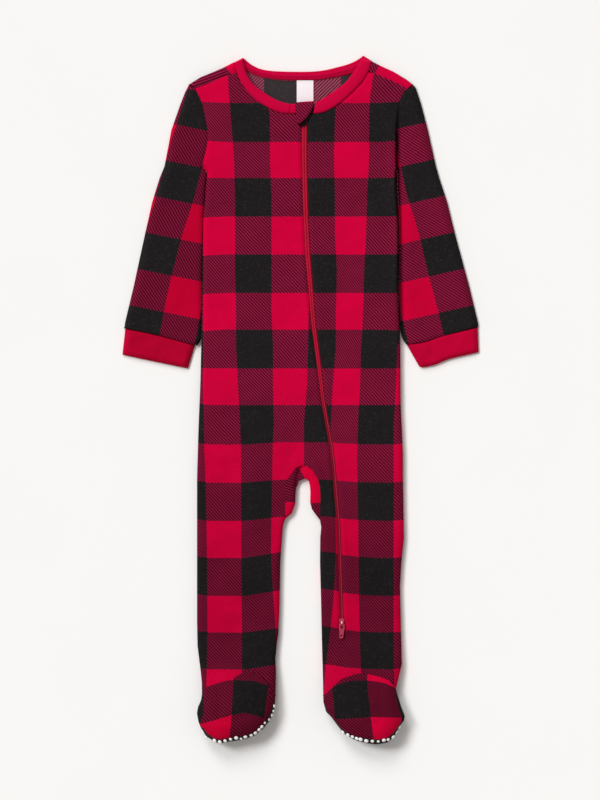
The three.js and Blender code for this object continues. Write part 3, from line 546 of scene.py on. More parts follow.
class Nodes:
    def __init__(self, name):
        self.mat = bpy.data.materials.new(name)
        self.mat.use_nodes = True
        self.t = self.mat.node_tree
        self.t.nodes.clear()
        self.out = self.t.nodes.new("ShaderNodeOutputMaterial")
        self.bsdf = self.t.nodes.new("ShaderNodeBsdfPrincipled")
        self.t.links.new(self.bsdf.outputs[0], self.out.inputs[0])

    def link(self, a, b):
        self.t.links.new(a, b)

    def set(self, socket, value):
        if hasattr(value, "links") or isinstance(value, bpy.types.NodeSocket):
            self.link(value, socket)
        else:
            socket.default_value = value

    def uv(self, name="fabric"):
        n = self.t.nodes.new("ShaderNodeUVMap")
        n.uv_map = name
        return n.outputs[0]

    def obj(self):
        return self.t.nodes.new("ShaderNodeTexCoord").outputs["Object"]

    def split(self, v):
        n = self.t.nodes.new("ShaderNodeSeparateXYZ")
        self.link(v, n.inputs[0])
        return n.outputs

    def m(self, op, a, b=0.0, c=0.0, clamp=False):
        n = self.t.nodes.new("ShaderNodeMath")
        n.operation = op
        n.use_clamp = clamp
        for i, v in enumerate((a, b, c)):
            if i < len(n.inputs):
                self.set(n.inputs[i], v)
        return n.outputs[0]

    def ramp(self, v, a, b, x=0.0, y=1.0, smooth=True):
        n = self.t.nodes.new("ShaderNodeMapRange")
        n.interpolation_type = "SMOOTHSTEP" if smooth else "LINEAR"
        self.set(n.inputs["Value"], v)
        n.inputs["From Min"].default_value, n.inputs["From Max"].default_value = a, b
        n.inputs["To Min"].default_value, n.inputs["To Max"].default_value = x, y
        return n.outputs["Result"]

    def mix(self, f, a, b, mode="MIX"):
        n = self.t.nodes.new("ShaderNodeMix")
        n.data_type = "RGBA"
        n.blend_type = mode
        self.set(n.inputs[0], f)
        self.set(n.inputs[6], a)
        self.set(n.inputs[7], b)
        return n.outputs[2]

    def noise(self, vec, scale, detail=2.0, rough=0.5, dims="3D"):
        n = self.t.nodes.new("ShaderNodeTexNoise")
        n.noise_dimensions = dims
        self.link(vec, n.inputs["Vector"])
        n.inputs["Scale"].default_value = scale
        n.inputs["Detail"].default_value = detail
        n.inputs["Roughness"].default_value = rough
        return n.outputs["Fac"]

    def wave_vec(self, vec, scale):
        n = self.t.nodes.new("ShaderNodeVectorMath")
        n.operation = "MULTIPLY"
        self.link(vec, n.inputs[0])
        n.inputs[1].default_value = scale
        return n.outputs[0]

    def bump(self, height, distance, strength=1.0, normal=None):
        n = self.t.nodes.new("ShaderNodeBump")
        n.inputs["Strength"].default_value = strength
        n.inputs["Distance"].default_value = distance
        self.link(height, n.inputs["Height"])
        if normal is not None:
            self.link(normal, n.inputs["Normal"])
        self.link(n.outputs[0], self.bsdf.inputs["Normal"])
        return n.outputs[0]

    def put(self, **values):
        for k, v in values.items():
            self.set(self.bsdf.inputs[k.replace("_", " ")], v)


def check_material(name, red, dark, line_dark, line_light, wrong=False, crevice_shade=False):
    """Brushed knit with a woven-look check: plain squares, dark squares and squares of fine twill lines."""
    n = Nodes(name)
    u, v, _ = n.split(n.uv())
    obj = n.obj()
    fuzz = n.noise(obj, 1300, 3, 0.6)
    soft = n.noise(obj, 260, 2, 0.5)
    broad = n.noise(obj, 22, 2, 0.5)
    wob = n.m("MULTIPLY_ADD", soft, 0.028, -0.014)
    uw, vw = n.m("ADD", u, wob), n.m("ADD", v, wob)
    colR = n.m("LESS_THAN", n.m("FLOORED_MODULO", uw, 2.0), 1.0)
    rowR = n.m("GREATER_THAN", n.m("FLOORED_MODULO", vw, 2.0), 1.0)
    both = n.m("MULTIPLY", colR, rowR)
    one = n.m("ABSOLUTE", n.m("SUBTRACT", colR, rowR))
    phase = n.m("ADD" if wrong else "SUBTRACT", n.m("MULTIPLY", u, 11.0), n.m("MULTIPLY", v, 11.0))
    phase = n.m("ADD", phase, n.m("MULTIPLY_ADD", soft, 0.18, -0.09))
    s = n.ramp(n.m("SINE", n.m("MULTIPLY", phase, 2 * math.pi)), -0.85, 1.2)
    lines = n.mix(s, line_dark, line_light)
    # painted shade: the twill lines darker towards the bottom of the garment, where less light falls
    lines = n.mix(1.0, lines, n.mix(n.ramp(n.split(obj)[1], -0.16, -0.02, 0.84, 1.0), (0, 0, 0, 1), (1, 1, 1, 1)), "MULTIPLY")
    mott = n.ramp(n.noise(obj, 420, 3, 0.6), 0.5, 0.72)
    base = n.mix(both, n.mix(n.m("MULTIPLY", mott, 0.45), dark, (0.036, 0.034, 0.036, 1)), red)
    base = n.mix(one, base, lines)
    # nap: broad shading, small pile flecks
    shade = n.m("MULTIPLY_ADD", n.ramp(broad, 0.3, 0.7), 0.12, 0.94)
    # painted shade: the cloth darker towards the bottom of the garment, where less light falls
    shade = n.m("MULTIPLY", shade, n.ramp(n.split(obj)[1], -0.23, 0.07, 0.75, 1.0, False))
    if crevice_shade:  # painted shade in the deep fold where the sleeve goes in beside the body
        ox, oy, _ = n.split(obj)
        line = n.m("MULTIPLY_ADD", oy, -0.021, 0.10242)
        shade = n.m("MULTIPLY", shade, n.ramp(n.m("SUBTRACT", ox, line), 0.0012, 0.0064, 0.16, 1.0))
    grain = n.m("MULTIPLY_ADD", n.ramp(fuzz, 0.3, 0.7), 0.34 if not wrong else 0.6, 0.83 if not wrong else 0.7)
    base = n.mix(1.0, base, n.mix(n.m("MULTIPLY", shade, grain), (0, 0, 0, 1), (1, 1, 1, 1)), "MULTIPLY")
    flecks = n.ramp(n.noise(obj, 2300, 2, 0.6), 0.62, 0.75)
    base = n.mix(n.m("MULTIPLY", flecks, 0.06 if not wrong else 0.4), base, (0.45, 0.25, 0.30, 1) if not wrong else (0.5, 0.4, 0.42, 1))
    wale = n.m("SINE", n.m("MULTIPLY", u, 2 * math.pi * 34))
    h = n.m("ADD", n.m("MULTIPLY", fuzz, 0.7), n.m("ADD", n.m("MULTIPLY", soft, 0.5), n.m("MULTIPLY", wale, 0.06)))
    n.bump(h, 0.00035, 0.55)
    n.put(Base_Color=base, Roughness=n.ramp(fuzz, 0.2, 0.8, 0.86, 0.98, False))
    n.bsdf.inputs["Specular IOR Level"].default_value = 0.03
    n.bsdf.inputs["Sheen Weight"].default_value = 0.015
    n.bsdf.inputs["Sheen Roughness"].default_value = 0.45
    n.bsdf.inputs["Sheen Tint"].default_value = (1.0, 0.75, 0.8, 1)
    return n.mat


RED = srgb(207, 0, 58)
RED_FOOT = srgb(212, 0, 54)
DARK = srgb(31, 28, 30)
L_DARK, L_LIGHT = srgb(80, 0, 24), srgb(148, 32, 70)
check = check_material("check knit body", RED, DARK, L_DARK, L_LIGHT)
# The sleeves take darker copies of the body's check and the feet and crotch lighter ones, the left foot lightest:
# painted shade and painted light per piece.
check_sleeve_r = check_material("check knit right sleeve", srgb(188, 0, 46), DARK, srgb(70, 0, 20), srgb(134, 28, 62))
check_sleeve_l = check_material("check knit left sleeve", srgb(198, 0, 52), DARK, L_DARK, L_LIGHT, crevice_shade=True)
check_foot = check_material("check knit foot", RED_FOOT, srgb(30, 27, 29), srgb(80, 1, 25), srgb(137, 29, 63))
check_foot_l = check_material("check knit left foot", srgb(225, 0, 60), srgb(30, 27, 29), srgb(80, 1, 25), srgb(137, 29, 63))
# A nearly black copy of the check for the guard's under ply: painted shadow under the guard flap.
facing_painted_shadow = check_material("check knit facing", srgb(150, 0, 30), srgb(15, 9, 11), srgb(50, 0, 14), srgb(100, 20, 44))
check_wrong = check_material("check knit wrong side", srgb(170, 30, 66), srgb(54, 48, 51), srgb(92, 20, 42), srgb(168, 84, 108), wrong=True)


def rib_material(name, color, pitch, depth=0.00022, joins=(), seam=False):
    """Fine rib: u runs across the ribs in millimetres."""
    n = Nodes(name)
    u, v, _ = n.split(n.uv())
    obj = n.obj()
    fuzz = n.noise(obj, 1500, 3, 0.6)
    broad = n.noise(obj, 40, 2, 0.5)
    wale = n.m("SINE", n.m("MULTIPLY", n.m("ADD", u, n.m("MULTIPLY", broad, 0.8)), 2 * math.pi / pitch))
    stitch = n.m("SINE", n.m("MULTIPLY", v, 2 * math.pi / 0.9))
    k = n.m("MULTIPLY_ADD", n.ramp(broad, 0.3, 0.7), 0.10, 0.95)
    k = n.m("MULTIPLY", k, n.m("MULTIPLY_ADD", wale, 0.05, 0.97))
    k = n.m("MULTIPLY", k, n.m("MULTIPLY_ADD", n.ramp(fuzz, 0.3, 0.7), 0.18, 0.91))
    for at in joins:  # the seam where the ends of the band meet
        k = n.m("MULTIPLY", k, n.ramp(n.m("ABSOLUTE", n.m("SUBTRACT", u, at)), 0.25, 0.8, 0.5, 1.0))
    if seam:  # painted shade of the groove at the sleeve's end
        k = n.m("MULTIPLY", k, n.ramp(v, 0.8, 2.1, 0.14, 1.0))
    if joins:  # painted shade on the half of the band's inner face beside the seam
        k = n.m("MULTIPLY", k, n.ramp(n.m("ABSOLUTE", n.m("ADD", v, 1.6)), 1.55, 1.85, 0.72, 1.0))
    base = n.mix(1.0, color, n.mix(k, (0, 0, 0, 1), (1, 1, 1, 1)), "MULTIPLY")
    h = n.m("ADD", n.m("MULTIPLY", wale, 0.5), n.m("ADD", n.m("MULTIPLY", stitch, 0.12), n.m("MULTIPLY", fuzz, 0.6)))
    n.bump(h, depth, 0.6)
    n.put(Base_Color=base, Roughness=n.ramp(fuzz, 0.2, 0.8, 0.82, 0.95, False))
    n.bsdf.inputs["Specular IOR Level"].default_value = 0.04
    n.bsdf.inputs["Sheen Weight"].default_value = 0.02
    n.bsdf.inputs["Sheen Roughness"].default_value = 0.4
    return n.mat


rib_neck = rib_material("red rib neck", srgb(203, 2, 60), 1.15, joins=(10.6,))
# The cuffs take darker copies of the neck's rib, the right cuff darkest: painted shade.
rib_cuff = rib_material("red rib cuff", srgb(191, 1, 51), 1.2, seam=True)
rib_cuff_r = rib_material("red rib right cuff", srgb(180, 1, 45), 1.2, seam=True)


def tape_material(name, color, shade_and_highlight=False):
    """Woven tape: fine herringbone, u across and v along in millimetres."""
    n = Nodes(name)
    u, v, _ = n.split(n.uv())
    obj = n.obj()
    side = n.m("PINGPONG", u, 1.1)
    tw = n.m("SINE", n.m("MULTIPLY", n.m("ADD", v, side), 2 * math.pi / 0.62))
    rib = n.m("SINE", n.m("MULTIPLY", v, 2 * math.pi / 1.25))
    fuzz = n.noise(obj, 1700, 2, 0.5)
    k = n.m("MULTIPLY", n.m("MULTIPLY_ADD", tw, 0.07, 0.95), n.m("MULTIPLY_ADD", rib, 0.05, 0.97))
    k = n.m("MULTIPLY", k, n.m("MULTIPLY_ADD", fuzz, 0.16, 0.92))
    if shade_and_highlight:  # painted shade on the edge that lies under the other one and on the seam beside it, towards the bottom
        low = n.ramp(v, 250, 335)
        k = n.m("MULTIPLY", k, n.m("SUBTRACT", 1.0, n.m("MULTIPLY", low, n.ramp(u, 0.1, 0.5, 0.5, 0.0))))
        k = n.m("MULTIPLY", k, n.m("SUBTRACT", 1.0, n.m("MULTIPLY", low, n.ramp(u, 1.05, 1.3, 0.0, 0.5))))
        # painted highlight: a lighter line along the raised edge, towards the bottom
        color = n.mix(n.m("MULTIPLY", low, n.ramp(n.m("ABSOLUTE", n.m("SUBTRACT", u, 0.78)), 0.12, 0.42, 0.6, 0.0)), color, srgb(206, 70, 104))
        # painted shade: the lower zip darker overall
        k = n.m("MULTIPLY", k, n.m("SUBTRACT", 1.0, n.m("MULTIPLY", low, 0.16)))
    base = n.mix(1.0, color, n.mix(k, (0, 0, 0, 1), (1, 1, 1, 1)), "MULTIPLY")
    n.bump(n.m("ADD", n.m("MULTIPLY", tw, 0.4), n.m("ADD", n.m("MULTIPLY", rib, 0.5), fuzz)), 0.00015, 0.5)
    n.put(Base_Color=base, Roughness=n.ramp(fuzz, 0.2, 0.8, 0.55, 0.75, False))
    n.bsdf.inputs["Specular IOR Level"].default_value = 0.10
    n.bsdf.inputs["Sheen Weight"].default_value = 0.03
    return n.mat


tape_mat = tape_material("zip tape", srgb(168, 2, 40))
ridge_mat = tape_material("zip tape ridge", srgb(188, 16, 52), shade_and_highlight=True)


def plastic(name, color, rough=0.4):
    n = Nodes(name)
    obj = n.obj()
    f = n.noise(obj, 900, 2, 0.5)
    k = n.m("MULTIPLY_ADD", f, 0.18, 0.9)
    n.put(Base_Color=n.mix(1.0, color, n.mix(k, (0, 0, 0, 1), (1, 1, 1, 1)), "MULTIPLY"),
          Roughness=n.ramp(f, 0.2, 0.8, rough - 0.06, rough + 0.1, False))
    n.bump(f, 0.00003, 0.4)
    return n.mat


coil_mat = plastic("coil nylon", srgb(196, 22, 60), 0.38)


def enamel(name, color, edge):
    """Lacquered die-cast metal: a slight orange peel, and lighter worn edges that also serve as a painted highlight.
    """
    n = Nodes(name)
    obj = n.obj()
    f = n.noise(obj, 1400, 2, 0.5)
    g = n.noise(obj, 320, 2, 0.5)
    geo = n.t.nodes.new("ShaderNodeNewGeometry")
    # lighter edges: wear, and partly a painted highlight
    worn = n.m("MULTIPLY", n.ramp(geo.outputs["Pointiness"], 0.52, 0.62), n.ramp(g, 0.45, 0.6), clamp=True)
    base = n.mix(n.m("MULTIPLY", worn, 0.7), color, edge)
    n.put(Base_Color=base, Roughness=n.ramp(g, 0.2, 0.8, 0.2, 0.34, False))
    n.bsdf.inputs["Metallic"].default_value = 0.35
    n.bsdf.inputs["Coat Weight"].default_value = 0.6
    n.bsdf.inputs["Coat Roughness"].default_value = 0.15
    n.bump(f, 0.00003, 0.35)
    return n.mat


metal_mat = enamel("lacquered metal", srgb(186, 48, 80), srgb(222, 150, 168))
# A near-white copy of the lacquer: painted glint on the crown's upper half, which faces the light.
painted_glint_mat = enamel("painted glint metal", srgb(255, 196, 206), srgb(255, 236, 240))


def label_material():
    """Bare white satin ribbon."""
    n = Nodes("label satin")
    u, v, _ = n.split(n.uv())
    obj = n.obj()
    warp = n.m("SINE", n.m("MULTIPLY", u, 2 * math.pi / 0.32))
    weft = n.m("SINE", n.m("MULTIPLY", v, 2 * math.pi / 0.5))
    f = n.noise(obj, 700, 2, 0.5)
    k = n.m("MULTIPLY", n.m("MULTIPLY_ADD", warp, 0.02, 0.97), n.m("MULTIPLY_ADD", f, 0.06, 0.96))
    n.put(Base_Color=n.mix(1.0, srgb(254, 245, 250), n.mix(k, (0, 0, 0, 1), (1, 1, 1, 1)), "MULTIPLY"),
          Roughness=n.ramp(f, 0.2, 0.8, 0.42, 0.6, False))
    n.bump(n.m("ADD", n.m("MULTIPLY", warp, 0.5), n.m("MULTIPLY", weft, 0.4)), 0.00006, 0.4)
    n.bsdf.inputs["Sheen Weight"].default_value = 0.1
    return n.mat


label_mat = label_material()


def sole_material():
    """Dark brushed knit of the soles."""
    n = Nodes("sole knit")
    obj = n.obj()
    u, v, _ = n.split(n.uv())
    f = n.noise(obj, 1200, 3, 0.6)
    g = n.noise(obj, 60, 2, 0.5)
    k = n.m("MULTIPLY", n.m("MULTIPLY_ADD", n.ramp(f, 0.3, 0.7), 0.6, 0.7), n.m("MULTIPLY_ADD", g, 0.2, 0.9))
    n.put(Base_Color=n.mix(1.0, srgb(44, 39, 40), n.mix(k, (0, 0, 0, 1), (1, 1, 1, 1)), "MULTIPLY"),
          Roughness=n.ramp(f, 0.2, 0.8, 0.86, 0.98, False))
    wale = n.m("SINE", n.m("MULTIPLY", u, 2 * math.pi * 34))
    n.bump(n.m("ADD", f, n.m("MULTIPLY", wale, 0.1)), 0.0003, 0.6)
    n.bsdf.inputs["Specular IOR Level"].default_value = 0.04
    n.bsdf.inputs["Sheen Weight"].default_value = 0.02
    return n.mat


sole_mat = sole_material()


def dot_material():
    """Soft white grip dots, a little worn."""
    n = Nodes("grip dots")
    obj = n.obj()
    f = n.noise(obj, 500, 3, 0.6)
    n.put(Base_Color=n.mix(n.ramp(f, 0.35, 0.75), srgb(255, 255, 255), srgb(246, 245, 244)),
          Roughness=n.ramp(f, 0.2, 0.8, 0.45, 0.62, False))
    n.bump(f, 0.00005, 0.4)
    n.bsdf.inputs["Subsurface Weight"].default_value = 0.0
    return n.mat


dot_mat = dot_material()
thread_mat = plastic("seam thread", srgb(196, 40, 76), 0.6)

pieces = {}


def keep(ob, nodes, slot, mats, body="garment", flat=None, rests=(), area=None, with_pieces=()):
    for m in mats:
        ob.data.materials.append(m)
    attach(ob, body)
    if nodes:
        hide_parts(*nodes)
    if flat:
        cut_area = area or area_of(ob)
        list(rests)
        list(with_pieces)
    pieces[ob.name] = ob
    return ob


# ------------------------------------------------------------------ fronts
def zip_edge(side, ya, yb):
    ys = [ya] + [y for y in zipLine[:, 0] if min(ya, yb) < y < max(ya, yb)][::1 if yb > ya else -1] + [yb]
    return np.array([[np.interp(y, zipLine[:, 0], zipLine[:, 1]) + side * np.interp(y, zipLine[:, 0], zipLine[:, 2]), y] for y in ys])


def roll(P, line, width, drop):
    """A soft turned edge along a line."""
    d = distance(P, line)
    return drop * (1 - S(np.clip(d / width, 0, 1)))


G = 0.14  # half of the gap at a seam, in layout units
neckL_part = part_of(neckOuter, lambda p: p[0] < 302 and p[1] > 72)
neckR_part = part_of(neckOuter, lambda p: p[0] > 308 and p[1] > 70)
mid_seam = T([342.9, 678.0], [342.9, 670], [342.3, 650], [342.2, 640], [341.2, 633])
outFR = chain(
    part_of(shoulderR, lambda p: p[0] > 195), T([237, 73.6]), neckL_part[1:], T([301.3, 113.6]),
    zip_edge(-1, 116, 628.5), mid_seam[::-1], part_of(instepL, lambda p: p[0] < 342)[::-1],
    cut(legLin, 694.8, 520.5), arch[::-1], cut(legRin, 520, 690.4), instepR[::-1], cut(legRout, 689, 479),
    cut(torsoL, 478, 171), armR[::-1][:-2])
outFL = chain(
    zip_edge(1, 114, 628.5), mid_seam[::-1], part_of(instepL, lambda p: p[0] > 343.2), cut(legLout, 688, 479),
    cut(torsoR, 478, 171.4), armL[::-1][:-2], part_of(shoulderL, lambda p: 368.5 < p[0] < 407)[::-1], T([368, 72.4]),
    neckR_part[::-1])
outFR = chain(outFR)


def front(name, outline, lines, edge_line, uv, node, flat):
    V, F = fill(outline, 2.3, folds=[bodyFold], edge_step=1.6)
    z = body_top(V)
    edge_roll = roll(V, edge_line, 1.5, 1.25)
    puff = np.exp(-((distance(V, edge_line) - 3.2) / 2.2) ** 2)
    z = z - edge_roll + 0.25 * puff * (1 + 0.5 * smooth_noise(V, 26, 9))
    z -= roll(V, mid_seam, 1.6, 0.1)
    ob = mesh(name, *surface(V, F, z, uv(V)))
    thicken(ob, 1.5, inner=1)
    return keep(ob, [node], "check_knit", [check, check_wrong], flat=flat[:2], rests=["back"])


zipR_edge = zip_edge(-1, 114, 628.5)
zipL_edge = zip_edge(1, 114, 628.5)
front_r = front("front_panel_right", outFR, FR, zipR_edge, front_uv(FR), "front_right", (0.160, 0.640, 0.0610))
front_l = front("front_panel_left", outFL, FL, zipL_edge, front_uv(FL), "front_left", (0.110, 0.640, 0.0430))

# ------------------------------------------------------------------ back, shoulders and heels
outBack = chain(
    backOuter[::-1] + [0, 0.2], shoulderFoldR, T([189.6, 84.4]), armR[1:], cut(torsoL, 171, 478), cut(legRout, 479, 695), T([276, 695]),
    cut(legRin, 694.6, 520), arch, cut(legLin, 520.5, 694.6), T([322.9, 695]), cut(legLout, 695, 479), cut(torsoR, 478, 171),
    armL[::-1][1:-1], shoulderFoldL[::-1])
Vb, Fb = fill(outBack, 4.4, folds=[bodyFold, shoulderFoldR, shoulderFoldL], edge_step=2.4, graded=(0.12, 0.45, 1.0, 1.9, 3.2),
              extra=np.array([[x, y] for x in np.arange(246, 360, 2.2) for y in np.arange(74, 112, 2.2)]))
zb = body_under(Vb)
parts = [surface(Vb, Fb, zb, back_uv(Vb), up=False)]
# shoulder straps that come over the fold, and the heels
strapR = chain(shoulderFoldR, T([189.7, 84.6], [190.2, 85.9]), shoulderR[1:], T([236.4, 72.0], [234.6, 62.4]))
strapL = chain(shoulderFoldL[::-1], T([371.2, 61.6], [368.9, 71.2]), shoulderL[1:-2], T([405.8, 87.9], [405, 90.5], [411, 85.2], [411.7, 84.3]))
for strap, f, uv in ((strapR, shoulderFoldR, strapR_uv), (strapL, shoulderFoldL, strapL_uv)):
    V, F = fill(strap, 1.7, folds=[f], edge_step=1.5, graded=(0.12, 0.4, 0.9, 1.7, 2.6))
    parts.append(surface(V, F, body_top(V), uv(V)))
heel_a = chain(cut(legRout, 690, 723.5), heelR[::-1])
heel_b = chain(cut(legLout, 721, 688.4), heelL)
for heel in (heel_a, heel_b):
    V, F = fill(heel, 1.2, folds=[bodyFold], edge_step=1.2, graded=(0.12, 0.5, 1.2, 2.2))
    uv = (np.full(len(V), 1.5), np.full(len(V), 0.5)) if heel is heel_a else (np.full(len(V), 1.5), np.full(len(V), 0.5))
    parts.append(surface(V, F, body_top(V, seam_lines=seams + [(heelR, 0.4), (heelL, 0.4)]), uv))
back = mesh("back_panel", *joined(parts))
thicken(back, 1.5, inner=1)
keep(back, ["back"], "check_knit", [check, check_wrong], flat=(0.240, 0.640))

# ------------------------------------------------------------------ sleeves and cuffs
sleeveFolds_R = [cut(slRout, 79.5, 374), cut(slRin, 166.8, 374)]
sleeveFolds_L = [cut(slLout, 80, 374), cut(slLin, 171.4, 374)]
creases_R = T([196, 182, 168, 204, 6, 0.35], [150, 246, 180, 262, 8, 0.3], [186, 300, 160, 318, 7, 0.3], [140, 296, 150, 324, 6, 0.25])
creases_L = T([404, 184, 432, 206, 6, 0.35], [452, 250, 424, 264, 8, 0.3], [414, 300, 440, 316, 7, 0.3], [462, 296, 454, 322, 6, 0.25])


def arm_fold(P, fold_lines):
    """Height of the folded edge: the outer edge lies flatter."""
    return np.where(distance(P, fold_lines[0]) < distance(P, fold_lines[1]), 1.7, 3.4)


def arm_z(P, fold_lines, crease_rows, seam_lines, H=6.9, Hm=6.3, R=4.2, seed=21, beside=None, tuck=None):
    d = distance_all(P, fold_lines)
    F = arm_fold(P, fold_lines)
    outer = F < 3
    R = np.where(outer, 7.5, R)
    h = Hm + (H - Hm) * np.exp(-np.clip(d - R, 0, None) / 8)
    t = np.clip(d / R, 0, 1)
    z = F + (h - F) * np.where(outer, t * (2 - t), S(t))
    fade = t
    z += fade * (0.26 * smooth_noise(P, 48, seed) + 0.08 * smooth_noise(P, 14, seed + 1))
    z -= fade * crease_depth(P, crease_rows)
    for k, line in enumerate(seam_lines):
        ds = distance(P, line)
        z -= np.minimum(fade + 0.3, 1) * (0.55, 0.8)[k] * ((1 + 0.3 * smooth_noise(P, 7, seed + 4 + k, 2)) * np.exp(-(ds / 1.3) ** 2) - 0.33 * np.exp(-((ds - 3.5) / 1.9) ** 2))
    if beside is not None:
        ds = distance(P, beside)
        k = np.interp(P[:, 1], tuck[0], tuck[1])
        z -= (z - 1.7) * k * np.exp(-(ds / np.interp(k, [0.3, 0.85], [3.8, 6.0])) ** 2)
    z -= 0.3 * np.clip(1.2 - distance(P, seam_lines[0]), 0, 1)
    return z


def arm_under(P, fold_lines, rb=3.2):
    return arm_fold(P, fold_lines) * (1 - S(distance_all(P, fold_lines) / rb))


def arm(name, outline, fold_lines, zt, zb, uv, step=2.3):
    V, F = fill(outline, step, folds=fold_lines, edge_step=1.6)
    top = surface(V, F, zt(V), uv(V))
    W, H = fill(outline, step * 1.6, folds=fold_lines, edge_step=1.6, graded=(0.12, 0.45, 1.0, 1.9, 3.0))
    low = surface(W, H, zb(W), uv(W), up=False)
    return mesh(name, *weld(*joined([top, low])))


outSR = chain(armR[0] - [0.3, 0.2], armR[1:] + [0.2, 0], cut(slRin, 168, 345.4), cuffSeamR[::-1], cut(slRout, 327, 84.2)[::1])
outSL = chain(armL[0] + [0.3, -0.2], armL[1:] - [0.2, 0], cut(slLin, 172, 344), cuffSeamL, cut(slLout, 326, 84.4))
sl_r = arm("sleeve_right_cloth", outSR, sleeveFolds_R,
           lambda P: arm_z(P, sleeveFolds_R, creases_R, [armR[1:], cuffSeamR], beside=cut(slRin, 172, 346),
                           tuck=([172, 260, 300, 346], [0.12, 0.2, 0.3, 0.3])),
           lambda P: arm_under(P, sleeveFolds_R), sleeveR_uv)
thicken(sl_r, 1.3, inner=1)
keep(sl_r, ["sleeve_right"], "check_knit", [check_sleeve_r, check_wrong], flat=(0.158, 0.270))
sl_l = arm("sleeve_left_cloth", outSL, sleeveFolds_L,
           lambda P: arm_z(P, sleeveFolds_L, creases_L, [armL[1:], cuffSeamL], seed=31,
                           beside=np.vstack([armL[6:], cut(slLin, 172, 344)]),
                           tuck=([112, 135, 200, 235, 262, 290, 305, 330, 346], [0.3, 0.9, 0.97, 0.95, 0.85, 0.75, 0.75, 0.85, 0.85])),
           lambda P: arm_under(P, sleeveFolds_L), sleeveL_uv)
thicken(sl_l, 1.3, inner=1)
keep(sl_l, ["sleeve_left"], "check_knit", [check_sleeve_l, check_wrong], flat=(0.158, 0.270))


def cuff(name, seam, end, right, seed):
    """A folded rib cuff: a flattened tube whose free end is a fold."""
    a, b = spline(seam, 60), spline(end, 60)
    rows = []
    m = 24
    ts = np.linspace(0, 1, m)
    foldA = np.array([a[0] + (b[0] - a[0]) * t for t in ts])
    foldB = np.array([a[-1] + (b[-1] - a[-1]) * t for t in ts])
    across = np.linspace(0, 1, 60)
    s = 0.5 - 0.5 * np.cos(np.pi * across)
    verts, uvs = [], []
    for j, t in enumerate(ts):
        line = np.column_stack([np.interp(s, across, a[:, k] + (b[:, k] - a[:, k]) * t) for k in (0, 1)])
        w = np.hypot(*(line[-1] - line[0]))
        dist = np.minimum(np.linalg.norm(line - line[0], axis=1), np.linalg.norm(line - line[-1], axis=1))
        e = np.clip((1 - t) * 26 / 4.5, 0, 1)
        end_round = e * (2 - e)
        seam_dip = 1.3 * np.exp(-(t * 26 / 1.5) ** 2)
        r = np.clip(dist / 6.5, 0, 1)
        top = 1.7 + (5.6 - 1.7 + 0.22 * smooth_noise(line, 22, seed) - seam_dip) * r * (2 - r)
        low = 1.7 * (1 - S(dist / 3.0))
        gap = 1.3
        topz = 1.9 + (top - 1.9) * (0.12 + 0.88 * end_round)
        lowz = low + (1 - end_round) * 0.35
        ring = [(x, y, z) for (x, y), z in zip(line, topz)] + [(x, y, z) for (x, y), z in list(zip(line, lowz))[::-1][1:-1]]
        verts.append(ring)
        su = np.concatenate([s * w, (w + (1 - s[::-1]) * w)[1:-1]]) * U * 1e3
        uvs.append(np.column_stack([su, np.full(len(su), t * 27)]))
    n = len(verts[0])
    P = np.array([p for ring in verts for p in ring])
    faces = []
    for j in range(m - 1):
        for i in range(n):
            p, q = j * n + i, j * n + (i + 1) % n
            faces.append((p, q, q + n, p + n))
    V = np.column_stack([wx(P[:, 0]), wy(P[:, 1]), P[:, 2] * 1e-3])
    ob = mesh(name, V, faces, np.vstack(uvs))
    # outward normals
    me = ob.data
    mid = V.mean(0)
    out = sum(1 for p in list(me.polygons)[:: max(1, len(me.polygons) // 300)] if (Vector(p.center) - Vector(mid)).dot(p.normal) > 0)
    tot = len(list(me.polygons)[:: max(1, len(me.polygons) // 300)])
    if out < tot / 2:
        me.flip_normals()
    thicken(ob, 1.0)
    return ob


cf_r = cuff("cuff_right_rib", np.vstack([cuffSeamR[:1] + [1.3, 0.1], cuffSeamR[1:-1] + [0, -0.4], cuffSeamR[-1:] + [-0.7, -0.4]]), cuffEndR, True, 51)
keep(cf_r, ["cuff_right"], "red_rib", [rib_cuff_r, rib_cuff_r], flat=(0.158, 0.031))
cf_l = cuff("cuff_left_rib", np.vstack([cuffSeamL[:1] + [0.2, -0.4], cuffSeamL[1:-1] + [0, -0.4], cuffSeamL[-1:] + [-0.7, 0.1]]), cuffEndL, False, 52)
keep(cf_l, ["cuff_left"], "red_rib", [rib_cuff, rib_cuff], flat=(0.158, 0.031))


